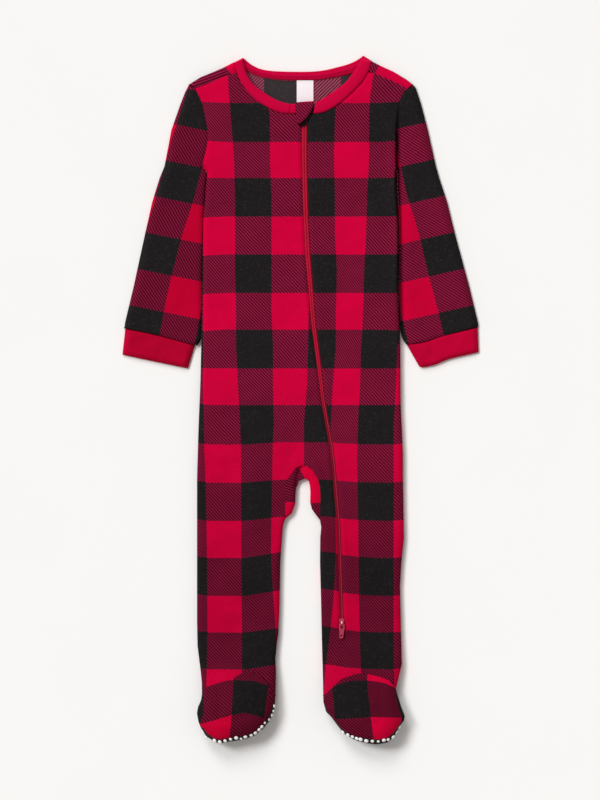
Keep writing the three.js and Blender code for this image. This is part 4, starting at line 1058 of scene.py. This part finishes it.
# ------------------------------------------------------------------ neck band
def band_rings():
    """Rings along the neck band: seam side, free side, normal, at each step."""
    n = 46
    oL = spline(part_of(neckOuter, lambda p: p[0] <= 300.2)[::-1], n)
    iL = spline(np.vstack([part_of(neckInner, lambda p: p[0] < 290), [[299.6, 104.6]]])[::-1], n)
    oR = spline(part_of(neckOuter, lambda p: p[0] >= 313)[::1], n)
    iR = spline(part_of(neckInner, lambda p: p[0] > 315), n)
    oB, iB = spline(backOuter, 70), spline(backInner, 70)
    rows = []
    for k in range(n):
        t = k / (n - 1)
        z = np.interp(t, [0, 0.75, 1], [7.1, 7.3, 6.9])
        rows.append((oL[k], iL[k], z, 1.0))
    for a in np.linspace(0, math.pi, 9)[1:-1]:
        s = math.sin(a)
        rows.append((oL[-1] * (1 + math.cos(a)) / 2 + oB[0] * (1 - math.cos(a)) / 2 + [-0.3 * s, -0.2 * s],
                     iL[-1] * (1 + math.cos(a)) / 2 + iB[0] * (1 - math.cos(a)) / 2 + [0.2 * s, -1.2 * s], 3.75 + 3.1 * math.cos(a), math.cos(a)))
    for k in range(70):
        rows.append((oB[k], iB[k], 0.65, -1.0))
    for a in np.linspace(math.pi, 0, 9)[1:-1]:
        s = math.sin(a)
        rows.append((oR[-1] * (1 + math.cos(a)) / 2 + oB[-1] * (1 - math.cos(a)) / 2 + [0.3 * s, -0.2 * s],
                     iR[-1] * (1 + math.cos(a)) / 2 + iB[-1] * (1 - math.cos(a)) / 2 + [-0.2 * s, -1.2 * s], 3.75 + 3.1 * math.cos(a), math.cos(a)))
    for k in range(n)[::-1]:
        t = k / (n - 1)
        z = np.interp(t, [0, 0.75, 1], [7.1, 7.3, 6.9])
        rows.append((oR[k], iR[k], z, 1.0))
    return rows


def neck():
    rows = band_rings()
    verts, uvs, along = [], [], 0.0
    prof = []
    nw = 11
    for i in range(nw):  # outer face from the seam to the free edge
        w = i / (nw - 1)
        h = 0.85 * math.sin(math.pi * min(1, w * 1.02)) ** 0.6 - 0.5 * math.exp(-(w / 0.1) ** 2)
        prof.append((0.02 + 0.98 * w, h))
    prof += [(1.06, -0.55), (1.09, -1.2), (1.05, -1.9)]
    for i in range(nw)[::-1]:  # inner face back to the seam
        w = i / (nw - 1)
        ridge = 0.42 * math.exp(-((w - 0.52) / 0.09) ** 2) - 0.25 * math.exp(-((w - 0.36) / 0.07) ** 2)
        prof.append((0.02 + 0.98 * w, -2.35 - ridge))
    prev = None
    for o, f, z, up in rows:
        c = (o + f) / 2
        if prev is not None:
            along += np.hypot(*(c - prev))
        prev = c
        ring = []
        for w, h in prof:
            p = o + (f - o) * w
            ring.append((p[0], p[1], z + up * h))
        verts.append(ring)
        uvs.append([(along, 7 * w if k < nw + 3 else -7 * w) for k, (w, h) in enumerate(prof)])
    n = len(prof)
    P = np.array([p for r in verts for p in r])
    faces = []
    for j in range(len(verts) - 1):
        for i in range(n):
            a, b = j * n + i, j * n + (i + 1) % n
            faces.append((a, b, b + n, a + n))
    faces.append(tuple(range(n))[::-1])
    faces.append(tuple((len(verts) - 1) * n + i for i in range(n)))
    V = np.column_stack([wx(P[:, 0]), wy(P[:, 1]), P[:, 2] * 1e-3])
    ob = mesh("neck_band_rib", V, faces, np.array([t for r in uvs for t in r]))
    import bmesh
    bm = bmesh.new()
    bm.from_mesh(ob.data)
    bmesh.ops.recalc_face_normals(bm, faces=bm.faces)
    bm.to_mesh(ob.data)
    bm.free()
    return ob


nb = neck()
keep(nb, ["neck_band"], "red_rib", [rib_neck], flat=(0.330, 0.0165), area=0.00285, rests=["back", "front_panel_right"])

# ------------------------------------------------------------------ crotch gusset
outG = chain(arch, cut(legLin, 519.4, 478.8), cut(legRin, 478.8, 518.2))


def gusset_uv(P):
    x, y = P[:, 0], P[:, 1]
    left = x < np.minimum(298.5 + (y - 466) * 0.55, 304.5)
    u = np.where(left, 1.0 + (y - 456) / 46.0, (x - 330) / 36.0 + 1.0)
    v = np.where(left, 1.5 - (y - 490) * 0.012 + (x - 292) * 0.01, 1 + (y - 466) / 37.0)
    return u, v


V, F = fill(outG, 1.5, folds=[bodyFold], edge_step=1.2, graded=(0.12, 0.4, 0.9, 1.6, 2.4))
gz = body_top(V, seam_lines=[], sink=0.3, rough=0.4) - 0.3 * np.exp(-(distance(V, arch) / 1.6) ** 2)
gz -= 2.9 * np.exp(-(distance(V, T([300.5, 468], [297.6, 476], [296.6, 486])) / 2.4) ** 2) * S(distance(V, bodyFold) / 2.6)
gz -= 1.8 * np.exp(-(((V[:, 0] - 301.5) / 3.6) ** 2 + ((V[:, 1] - 474) / 4.5) ** 2)) * S(distance(V, bodyFold) / 3)
W, H = fill(outG, 2.6, folds=[bodyFold], edge_step=1.2, graded=(0.12, 0.45, 1.0, 1.9))
gz2 = body_under(W)
gus = mesh("crotch_gusset_cloth", *weld(*joined([surface(V, F, gz, gusset_uv(V)), surface(W, H, gz2, gusset_uv(W), up=False)])))
thicken(gus, 1.2, inner=1)
keep(gus, ["crotch_gusset"], "check_knit", [check_foot, check_wrong], flat=(0.075, 0.060))

# ------------------------------------------------------------------ feet
toeR = T([203.6, 727], [207.6, 732.6], [213.5, 736.6], [220, 738.6], [230, 736.8], [241, 735.4], [249.6, 733.4],
         [257.4, 729.4], [263.6, 722.4], [268.4, 716.2], [271.6, 709.4], [273.6, 702])
toeL = T([324.5, 703.6], [327.3, 710.8], [332.2, 715.9], [340.4, 726], [346.4, 731.6], [353, 734.6], [360, 736.4], [368, 737.8],
         [378, 738.6], [386.4, 737.2], [392.4, 732.6], [397.6, 726.4], [401.6, 720.4])


def foot(side, outline, toe, uv, sole_uv, heel_line):
    seam_lines = [(instepR, 0.38), (instepL, 0.38), (heelR, 0.4), (heelL, 0.4), (toe, 0.55)]
    V, F = fill(outline, 1.7, folds=[bodyFold], edge_step=1.4, graded=(0.12, 0.4, 0.9, 1.6, 2.5))
    z = body_top(V, seam_lines=seam_lines)
    ob = mesh("vamp_%s_cloth" % side, *surface(V, F, z, uv(V)))
    thicken(ob, 1.4, inner=1)
    return ob


outVR = chain(instepR + [0, 0.04], cut(legRin, 691, 702), toeR[::-1], cut(legRout, 726, 723.8), heelR[::-1])
outVL = chain(instepL + [0, 0.04], heelL[:-1], toeL[::-1], cut(legLin, 702.5, 696))
vr = foot("right", outVR, toeR, vampR_uv, None, heelR)
keep(vr, ["vamp_right"], "check_knit", [check_foot, check_wrong], flat=(0.090, 0.080))
vl = foot("left", outVL, toeL, vampL_uv, None, heelL)
keep(vl, ["vamp_left"], "check_knit", [check_foot_l, check_wrong], flat=(0.090, 0.080))


def sole(side, out_line, in_line, toe, y_end):
    """The sole: the underside of the foot, and the sliver that turns up around the toes."""
    bottom = chain(cut(out_line, 695.4, y_end), cut(in_line, y_end, 695.4))
    W, H = fill(bottom, 2.4, folds=[bodyFold], edge_step=1.4, graded=(0.12, 0.5, 1.1, 2.0, 3.2, 5, 8))
    low = surface(W, H, body_under(W), ((W[:, 0]) / 36, W[:, 1] / 36), up=False)
    if side == "right":
        rim = chain(cut(out_line, 727, y_end), cut(in_line, y_end, 702.6), toe[::-1])
    else:
        rim = chain(cut(in_line, 704, y_end), cut(out_line, y_end, 720.8), toe[::-1])
    V, F = fill(rim, 1.4, folds=[bodyFold], edge_step=1.4, graded=(0.12, 0.5, 1.1, 2.0))
    top = surface(V, F, body_top(V, seam_lines=[(toe, 0.55)]), (V[:, 0] / 36, V[:, 1] / 36))
    ob = mesh("sole_%s_cloth" % side, *weld(*joined([low, top])))
    thicken(ob, 1.4)
    return ob


so_r = sole("right", legRout, legRin, toeR, 742.5)
keep(so_r, ["sole_right"], "sole_knit", [sole_mat, sole_mat], flat=(0.085, 0.070))
so_l = sole("left", legLout, legLin, toeL, 743.5)
keep(so_l, ["sole_left"], "sole_knit", [sole_mat, sole_mat], flat=(0.085, 0.070))


def dots(name, rim_points, out_line, in_line, y_end, body):
    """Raised grip dots on the sole and around its turned-up rim."""
    verts, faces = [], []

    def add(c, nrm, r):
        nrm = Vector(nrm).normalized()
        t = nrm.orthogonal().normalized()
        b = nrm.cross(t)
        n0 = len(verts)
        rings = [(1.0, -0.15), (1.0, 0.12), (0.86, 0.34), (0.55, 0.5)]
        for rr, h in rings:
            for k in range(14):
                a = 2 * math.pi * k / 14
                verts.append(Vector(c) + (t * math.cos(a) + b * math.sin(a)) * r * rr + nrm * h * r * 0.9)
        verts.append(Vector(c) + nrm * 0.56 * r * 0.9)
        for j in range(len(rings) - 1):
            for k in range(14):
                p, q = n0 + j * 14 + k, n0 + j * 14 + (k + 1) % 14
                faces.append((p, q, q + 14, p + 14))
        top = n0 + len(rings) * 14
        for k in range(14):
            faces.append((top - 14 + k, top - 14 + (k + 1) % 14, top))
        faces.append(tuple(n0 + k for k in range(14))[::-1])

    foldz = lambda y: float(np.interp(y, bodyRows[:, 0], bodyRows[:, 1]))
    centre = np.array([np.mean([p[0] for p in rim_points]), 712.0])
    for x, y in rim_points:
        size = rng.uniform(0.72, 1.12)
        x, y = x + rng.uniform(-0.5, 0.5), y + rng.uniform(-0.35, 0.35)
        p = np.array([[x, y]])
        poly = chain(cut(out_line, 690, y_end), cut(in_line, y_end, 690))
        ins = inside(p, poly)[0]
        d = distance_all(p, folds)[0]
        away = np.array([x, y]) - centre
        away /= np.hypot(*away)
        if ins:
            z = float(body_top(p, seam_lines=[])[0])
            R = float(body_values(p)[3][0])
            k = min(1.0, d / R)
            slope = (1 - k) / max(S(np.array([k]))[0], 0.05)
            nrm = (away[0] * slope * 0.55, -away[1] * slope * 0.55, 1.0)
            add((float(wx(x)), float(wy(y)), z * 1e-3), nrm, (2.05e-3 if y > 730 else 1.75e-3) * size)
        else:
            add((float(wx(x - away[0] * d)), float(wy(y - away[1] * d)), foldz(y) * 1e-3), (away[0], -away[1], 0.8), 1.95e-3 * size)
    poly = chain(cut(out_line, 697, y_end), cut(in_line, y_end, 697))
    pts = []
    for j, y in enumerate(np.arange(699.5, 743, 4.7)):
        for x in np.arange(196 + (j % 2) * 2.7, 410, 5.4):
            pts.append([x, y])
    pts = np.array(pts)
    pts = pts[inside(pts, poly)]
    d = distance_all(pts, [bodyFold])
    pts, d = pts[d > 1.6], d[d > 1.6]
    z = body_under(pts)
    e = 0.4
    zx = (body_under(pts + [e, 0]) - body_under(pts - [e, 0])) / (2 * e * U * 1e3)
    zy = (body_under(pts + [0, e]) - body_under(pts - [0, e])) / (2 * e * U * 1e3)
    for (x, y), h, gx, gy in zip(pts, z, zx, zy):
        lift = 0.45 if h < 0.9 else 0.0
        add((float(wx(x)), float(wy(y)), (h + lift) * 1e-3), (gx, -gy, -1.0), 1.5e-3)
    V = np.array([tuple(v) for v in verts])
    V[:, 2] = np.maximum(V[:, 2], 0.0)
    ob = mesh(name, V, faces)
    keep(ob, [], "sole_knit", [dot_mat])
    return ob


rimR = T([202.6, 732], [206.4, 736], [210.4, 738.6], [214.6, 739.8], [219.6, 741], [225.6, 740], [231, 738], [236.5, 737], [241.6, 737.6],
         [246, 736], [251, 734.2], [255.4, 731.8], [259.4, 729], [262.4, 726], [265.2, 722.4], [268.8, 718.6], [271.8, 714.4], [273.6, 710.6], [274.6, 706])
rimL = T([343.4, 731.4], [347.3, 734], [352, 735.6], [356.2, 737.4], [360.6, 738.2], [366.3, 739.8],
         [372.2, 740.4], [377.8, 740.4], [383.4, 739.2], [388.2, 738.4], [392.6, 736], [396, 731.8], [399.6, 726.6])
dots("grip_dots_right", rimR, legRout, legRin, 742.5, so_r)
dots("grip_dots_left", rimL, legLout, legLin, 743.5, so_l)


# ------------------------------------------------------------------ zip
def zx(y):
    return np.interp(y, zipLine[:, 0], zipLine[:, 1])


def zh(y):
    return np.interp(y, zipLine[:, 0], zipLine[:, 2])


def ribbon(name, ys, section, closed=True):
    """A strip along the zip. section(y) gives dx in layout units from the zip's middle and z in mm."""
    verts, uvs, n = [], [], 0
    s = 0.0
    prev = None
    for y in ys:
        x = float(zx(y))
        if prev is not None:
            s += math.hypot(x - prev[0], y - prev[1])
        prev = (x, y)
        pts = section(y)
        n = len(pts)
        for dx, z in pts:
            verts.append((x + dx, y, z))
            uvs.append((dx * 1.02, s * 1.02))
    P = np.array(verts)
    faces = []
    for j in range(len(ys) - 1):
        for i in range(n if closed else n - 1):
            a, b = j * n + i, j * n + (i + 1) % n
            faces.append((a, b, b + n, a + n))
    if closed:
        faces.append(tuple(range(n))[::-1])
        faces.append(tuple((len(ys) - 1) * n + i for i in range(n)))
    V = np.column_stack([wx(P[:, 0]), wy(P[:, 1]), P[:, 2] * 1e-3])
    ob = mesh(name, V, faces, np.array(uvs))
    import bmesh
    bm = bmesh.new()
    bm.from_mesh(ob.data)
    bmesh.ops.recalc_face_normals(bm, faces=bm.faces)
    bm.to_mesh(ob.data)
    bm.free()
    return ob


ys = np.arange(112.0, 629.0, 1.6)
base = body_top(np.column_stack([zx(ys), ys]), seam_lines=[], rough=1.0)
base_at = lambda y: float(np.interp(y, ys, base))


def tape_section(side):
    def f(y):
        b = base_at(y)
        return [(side * 0.15, b - 1.9), (side * 1.3, b - 1.75), (side * 2.4, b - 1.85), (side * 4.4, b - 2.3), (side * 6.2, b - 2.35),
                (side * 6.2, b - 2.95), (side * 3.0, b - 2.95), (side * 0.15, b - 2.6)]
    return f


for side, nm in ((-1, "right"), (1, "left")):
    tp = ribbon("zip_tape_%s_weave" % nm, ys, tape_section(side))
    keep(tp, ["zip_tape_%s" % nm], "zip_tape", [tape_mat], flat=(0.010, 0.530), area=0.0034, rests=["back_panel"])


def coil():
    """The closed zip seen from its outer side: two rolled tape edges over the coil, with the stitches' ribs across."""
    yy = np.arange(113.0, 619.5, 0.42)
    verts, uvs = [], []
    m = 17
    s = 0.0
    prev = None
    for y in yy:
        x, h = float(zx(y)), float(zh(y)) - 0.25
        if prev is not None:
            s += math.hypot(x - prev[0], y - prev[1])
        prev = (x, y)
        b = base_at(y)
        rib = 0.10 * math.sin(2 * math.pi * s * 1.02 / 1.27)
        for i in range(m):
            t = -1 + 2 * i / (m - 1)
            a = abs(t)
            lower = float(np.interp(y, [360, 440], [0, 1]))  # further down only one edge stands up
            hump = math.sin(math.pi * min(1, (a * 1.03))) ** (0.7 + (0.9 * lower if t > 0 else 0)) if a < 0.97 else 0.0
            z = b - 1.85 + 1.05 * hump * (1 - (0.6 * lower if t < 0 else 0)) + (0.3 if t > 0 else -0.25) * hump + 0.6 * rib * hump - (0.45 if a < 0.04 else 0)
            verts.append((x + t * h, y, z))
            uvs.append((t * h, s))
    P = np.array(verts)
    V = np.column_stack([wx(P[:, 0]), wy(P[:, 1]), P[:, 2] * 1e-3])
    faces = []
    for j in range(len(yy) - 1):
        for i in range(m - 1):
            a = j * m + i
            faces.append((a, a + m, a + m + 1, a + 1))
    ob = mesh("zip_coil_closed", V, faces, np.array(uvs))
    thicken(ob, 0.5)
    return ob


zc = coil()
keep(zc, ["zip_coil"], "zip_coil", [ridge_mat, ridge_mat])


# ------------------------------------------------------------------ slider and pull tab
def bevel(ob, w, seg=3, angle=35):
    b = ob.modifiers.new("edge", "BEVEL")
    b.width = w
    b.segments = seg
    b.limit_method = "ANGLE"
    b.angle_limit = math.radians(angle)
    return ob


def prism(name, outline, z0, z1):
    n = len(outline)
    V = [(x, y, z0) for x, y in outline] + [(x, y, z1) for x, y in outline]
    F = [tuple(range(n))[::-1], tuple(range(n, 2 * n))] + [(i, (i + 1) % n, n + (i + 1) % n, n + i) for i in range(n)]
    ob = mesh(name, V, F, smooth=True)
    return ob


sb0, sb1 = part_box("zip_slider")
tb0, tb1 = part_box("zip_pull_tab")
sx = (sb0.x + sb1.x) / 2
sy = (sb0.y + sb1.y) / 2
hinge = Vector((0.041932, -0.229446, 0.010525))


def slider():
    import bmesh
    L, Wd = 0.0087, 0.0051
    base_y = float(wy(622.6))
    top = float(tb0.z) - 0.0004
    outline = [(-0.5, 1), (-0.78, 0.93), (-1, 0.6), (-0.95, 0.2), (-0.8, -0.3), (-0.72, -0.85), (-0.6, -1), (0.6, -1), (0.72, -0.85),
               (0.8, -0.3), (0.95, 0.2), (1, 0.6), (0.78, 0.93), (0.5, 1)]
    o = [(sx + a * Wd / 2, base_y + b * L / 2) for a, b in outline]
    zt = 0.00957
    plate = prism("plate", o, zt - 0.0011, zt)
    lower = prism("lower", [(sx + a * Wd / 2 * 0.96, base_y + b * L / 2 * 0.97) for a, b in outline], float(sb0.z), float(sb0.z) + 0.0009)
    neck_ = prism("neckpost", [(sx + a * 0.0009, base_y + L / 2 * 0.55 + b * 0.0011) for a, b in [(-1, -1), (1, -1), (1, 1), (-1, 1)]], float(sb0.z) + 0.0006, zt - 0.0008)
    # crown: an arch along the zip that holds the tab's bar
    R, w = 0.0026, 0.00065
    cy = float(wy(623.3))
    arcs = [math.pi * k / 18 for k in range(19)]
    V, F = [], []
    for a in arcs:
        for rr in (R, R - 0.0009):
            for xx in (-w, w):
                V.append((sx + xx, cy + rr * math.cos(a), zt - 0.0001 + rr * math.sin(a) * 0.99))
    for k in range(18):
        b = 4 * k
        F += [(b, b + 1, b + 5, b + 4), (b + 3, b + 2, b + 6, b + 7), (b + 2, b, b + 4, b + 6), (b + 1, b + 3, b + 7, b + 5)]
    F += [(0, 2, 3, 1), (72, 73, 75, 74)]
    crown = mesh("crown", V, F)
    for ob, wd in ((plate, 0.00045), (lower, 0.00025), (neck_, 0.0002), (crown, 0.00025)):
        bm = bmesh.new()
        bm.from_mesh(ob.data)
        bmesh.ops.recalc_face_normals(bm, faces=bm.faces)
        bm.to_mesh(ob.data)
        bm.free()
        bevel(ob, wd)
    dep = bpy.context.evaluated_depsgraph_get()
    dep.update()
    bm = bmesh.new()
    for ob in (plate, lower, neck_, crown):
        me = bpy.data.meshes.new_from_object(ob.evaluated_get(bpy.context.evaluated_depsgraph_get()))
        if ob is crown:
            # the crown's upper half takes the near-white copy: painted glint where light falls
            me.polygons.foreach_set("material_index", [1 if q.center.y > cy else 0 for q in me.polygons])
        bm.from_mesh(me)
        bpy.data.objects.remove(ob)
    me = bpy.data.meshes.new("zip_slider_metal")
    bm.to_mesh(me)
    bm.free()
    me.polygons.foreach_set("use_smooth", [True] * len(me.polygons))
    ob = bpy.data.objects.new("zip_slider_metal", me)
    scene.collection.objects.link(ob)
    m = ob.modifiers.new("n", "WEIGHTED_NORMAL")
    return ob


sl = slider()
keep(sl, ["zip_slider"], "zip_metal", [metal_mat, painted_glint_mat])


def tab():
    """The flat pull tab: a window for the crown at its top and a small eye near its tip, with rounded edges."""
    cu = bpy.data.curves.new("tab", "CURVE")
    cu.dimensions = "2D"
    cu.fill_mode = "BOTH"
    cu.extrude = 0.00022
    cu.bevel_depth = 0.00023
    cu.bevel_resolution = 3
    half, tip, L, bar, win = 2.85, 1.95, 14.2, 0.5, 3.4

    def spl(points):
        sp = cu.splines.new("POLY")
        sp.points.add(len(points) - 1)
        for p, (x, y) in zip(sp.points, points):
            p.co = (x * 1e-3, y * 1e-3, 0, 1)
        sp.use_cyclic_u = True

    b = 0.23

    def arc(cx, cy, r, a0, a1, k=6):
        return [(cx + r * math.cos(math.radians(a0 + (a1 - a0) * i / k)), cy + r * math.sin(math.radians(a0 + (a1 - a0) * i / k))) for i in range(k + 1)]
    h, t, top = half - b, tip - b, bar - b
    outer = (arc(h - 0.7, top - 0.7, 0.7, 0, 90) + arc(-h + 0.7, top - 0.7, 0.7, 90, 180) + [(-h, -win)]
             + arc(-t + 1.1, -L + b + 1.1, 1.1, 180, 270) + arc(t - 1.1, -L + b + 1.1, 1.1, 270, 360) + [(h, -win)])
    spl(outer)
    wv = 1.25 + b
    spl([(-wv + 0.3, -bar - b + 0.35), (wv - 0.3, -bar - b + 0.35), (wv, -bar - 0.3), (wv, -bar - win + 0.4), (wv - 0.5, -bar - win - b),
         (-wv + 0.5, -bar - win - b), (-wv, -bar - win + 0.4), (-wv, -bar - 0.3)][::-1])
    spl([(1.15 * math.cos(k * math.pi / 12), -L + 2.9 + 1.15 * math.sin(k * math.pi / 12)) for k in range(24)][::-1])
    ob = bpy.data.objects.new("tabcurve", cu)
    scene.collection.objects.link(ob)
    bpy.context.view_layer.update()
    me = bpy.data.meshes.new_from_object(ob.evaluated_get(bpy.context.evaluated_depsgraph_get()))
    bpy.data.objects.remove(ob)
    co = np.zeros(len(me.vertices) * 3)
    me.vertices.foreach_get("co", co)
    co = co.reshape(-1, 3)
    co[:, 0] += 0.055 * np.minimum(co[:, 1] + 0.004, 0)  # the tip hangs a little to one side
    co = co + [hinge.x, hinge.y, hinge.z]
    me.vertices.foreach_set("co", co.ravel())
    me.update()
    me.materials.clear()
    import bmesh
    bm = bmesh.new()
    bm.from_mesh(me)
    bmesh.ops.remove_doubles(bm, verts=bm.verts, dist=1e-6)
    bm.to_mesh(me)
    bm.free()
    me.polygons.foreach_set("use_smooth", [True] * len(me.polygons))
    o = bpy.data.objects.new("zip_pull_tab_metal", me)
    scene.collection.objects.link(o)
    m = o.modifiers.new("n", "WEIGHTED_NORMAL")
    return o


tb = tab()
keep(tb, ["zip_pull_tab"], "zip_metal", [metal_mat], body="zip_pull")

# ------------------------------------------------------------------ guard flap and label
def guard_z(P, edge):
    lift = np.interp(P[:, 1], [100, 108, 125], [0.4, 2.3, 2.1])
    z = body_top(np.column_stack([P[:, 0], np.maximum(P[:, 1], 112)]), seam_lines=[], rough=0.4) + lift + 1.1 * S(distance(P, edge) / 2.0) - 0.4
    return z + 0.35 * np.exp(-((P[:, 0] - P[:, 1] * -0.2 - 329) / 2.5) ** 2)


gl = chain(spline(guardLine[2:7], 26), spline(guardLine[6:], 8)[1:], guardLine[0], guardLine[1])
V, F = fill(gl, 0.9, folds=[], edge_step=0.8)
gz = guard_z(V, guardLine[2:7])
W, H = fill(facingLine, 1.0, folds=[], edge_step=0.9)
fz = guard_z(W, guardLine[2:7]) - 1.5 - 1.1 * np.exp(-((W[:, 0] - 303.5) / 3.5) ** 2 - ((W[:, 1] - 124.5) / 2.5) ** 2)


def guard_uv(P):
    return (P[:, 0] - 309) / 36.3 + 2.0 + 0.9, (P[:, 1] - 103) / 37.83 + 0.02


gd = mesh("zip_guard_cloth", *joined([surface(V, F, gz, guard_uv(V)),
                                      surface(W, H, fz, (np.full(len(W), 1.5), np.full(len(W), 0.5)))]))
# The under ply takes the nearly black copy: painted shadow under the flap.
gd.data.polygons.foreach_set("material_index", [0] * len(F) + [1] * (len(gd.data.polygons) - len(F)))
thicken(gd, 1.2)
keep(gd, ["zip_guard"], "check_knit", [check, facing_painted_shadow], flat=(0.022, 0.026), rests=["front_panel_right", "zip_coil_closed"])


def label():
    n, m = 15, 21
    verts, uvs, faces = [], [], []
    for j in range(m):
        t = j / (m - 1)
        for i in range(n):
            s = i / (n - 1)
            x = 296.75 + s * 16.7
            y = 80.2 + t * 22.6
            z = 2.35 + 0.5 * math.sin(math.pi * t) * (0.5 + 0.5 * math.sin(2.6 * s + 0.4)) + 0.9 * math.exp(-(t / 0.05) ** 2) * 0.4
            verts.append((x, y, z))
            uvs.append((s * 17, t * 23))
    for j in range(m - 1):
        for i in range(n - 1):
            a = j * n + i
            faces.append((a, a + n, a + n + 1, a + 1))
    P = np.array(verts)
    ob = mesh("neck_label_ribbon", np.column_stack([wx(P[:, 0]), wy(P[:, 1]), P[:, 2] * 1e-3]), faces, np.array(uvs))
    thicken(ob, 0.35)
    b = bevel(ob, 0.00012, 2, 50)
    return ob


lb = label()
keep(lb, ["neck_label"], "label", [label_mat, label_mat], flat=(0.0172, 0.0232), rests=["back_panel"])


# ------------------------------------------------------------------ overlocked seam inside the back of the neck
def threads(name, line, lift, pitch, width, r, z_fn, nodes=()):
    """A row of small zigzag stitches along a seam."""
    q = resample(line, pitch / 2)
    tan = np.gradient(q, axis=0)
    nor = np.column_stack([-tan[:, 1], tan[:, 0]])
    nor /= np.linalg.norm(nor, axis=1)[:, None]
    pts = q + nor * (width / 2) * np.where(np.arange(len(q)) % 2 == 0, 1, -1)[:, None]
    z = z_fn(pts) + lift
    P = np.column_stack([wx(pts[:, 0]), wy(pts[:, 1]), z * 1e-3])
    verts, faces = [], []
    for a, b in zip(P[:-1], P[1:]):
        a, b = Vector(a), Vector(b)
        d = (b - a).normalized()
        e = d.cross(Vector((0, 0, 1))).normalized()
        f = e.cross(d)
        n0 = len(verts)
        for t, bulge, h in ((0, 0.55, -0.3), (0.3, 1.0, 0.5), (0.7, 1.0, 0.5), (1, 0.55, -0.3)):
            c = a + (b - a) * t + Vector((0, 0, h * r))
            for k in range(6):
                ang = math.pi * k / 3
                verts.append(c + (e * math.cos(ang) + f * math.sin(ang)) * r * bulge)
        for j in range(3):
            for k in range(6):
                p, s = n0 + j * 6 + k, n0 + j * 6 + (k + 1) % 6
                faces.append((p, s, s + 6, p + 6))
        faces.append(tuple(n0 + k for k in range(6))[::-1])
        faces.append(tuple(n0 + 18 + k for k in range(6)))
    return mesh(name, verts, faces)


ov = threads("neck_overlock", spline(backOuter[1:-1] + [0, 0.2], 60), 1.75, 1.5, 1.5, 0.00022, lambda P: body_under(P))
keep(ov, [], "red_rib", [thread_mat])

# ------------------------------------------------------------------ stage, light and camera
n = Nodes("pale floor")
f = n.noise(n.obj(), 9, 3, 0.5)
n.put(Base_Color=n.mix(n.ramp(f, 0.2, 0.8), srgb(248, 248, 247), srgb(249, 249, 248)), Roughness=0.92)
n.bsdf.inputs["Specular IOR Level"].default_value = 0.1
bpy.ops.mesh.primitive_plane_add(size=14, location=(0, 0, -0.0004))
floor = bpy.context.active_object
floor.name = "floor"
floor.data.materials.append(n.mat)

world = bpy.data.worlds.new("studio")
scene.world = world
world.use_nodes = True
bg = world.node_tree.nodes["Background"]
bg.inputs["Color"].default_value = (1.0, 0.945, 0.918, 1)
bg.inputs["Strength"].default_value = 0.40

sun = bpy.data.lights.new("key", "SUN")
sun.energy = 1.62
sun.angle = math.radians(18)
sun.color = (0.99, 1.008, 1.01)
so = bpy.data.objects.new("key", sun)
scene.collection.objects.link(so)
el, az = math.radians(47), math.radians(152)  # azimuth counter-clockwise from +X, towards the light
d = Vector((math.cos(el) * math.cos(az), math.cos(el) * math.sin(az), math.sin(el)))
so.rotation_euler = d.to_track_quat("Z", "Y").to_euler()

top = bpy.data.lights.new("top", "SUN")
top.energy = 1.14
top.angle = math.radians(26)
to = bpy.data.objects.new("top", top)
scene.collection.objects.link(to)
el, az = math.radians(40), math.radians(112)
d = Vector((math.cos(el) * math.cos(az), math.cos(el) * math.sin(az), math.sin(el)))
to.rotation_euler = d.to_track_quat("Z", "Y").to_euler()

cam = bpy.data.cameras.new("camera")
cam.type = "PERSP"
dist = 5.0
cam.sensor_fit = "VERTICAL"
cam.sensor_height = 36.0
cam.lens = 36.0 * dist / 0.816
cam.clip_start, cam.clip_end = 0.1, 50
co = bpy.data.objects.new("camera", cam)
co.location = (-0.00070, -0.00056, dist + 0.006)
co.rotation_euler = (0, 0, 0)
scene.collection.objects.link(co)
scene.camera = co

scene.view_settings.view_transform = "Standard"
scene.view_settings.look = "None"
scene.view_settings.exposure = 0.0
scene.view_settings.gamma = 1.0

bpy.context.view_layer.update()
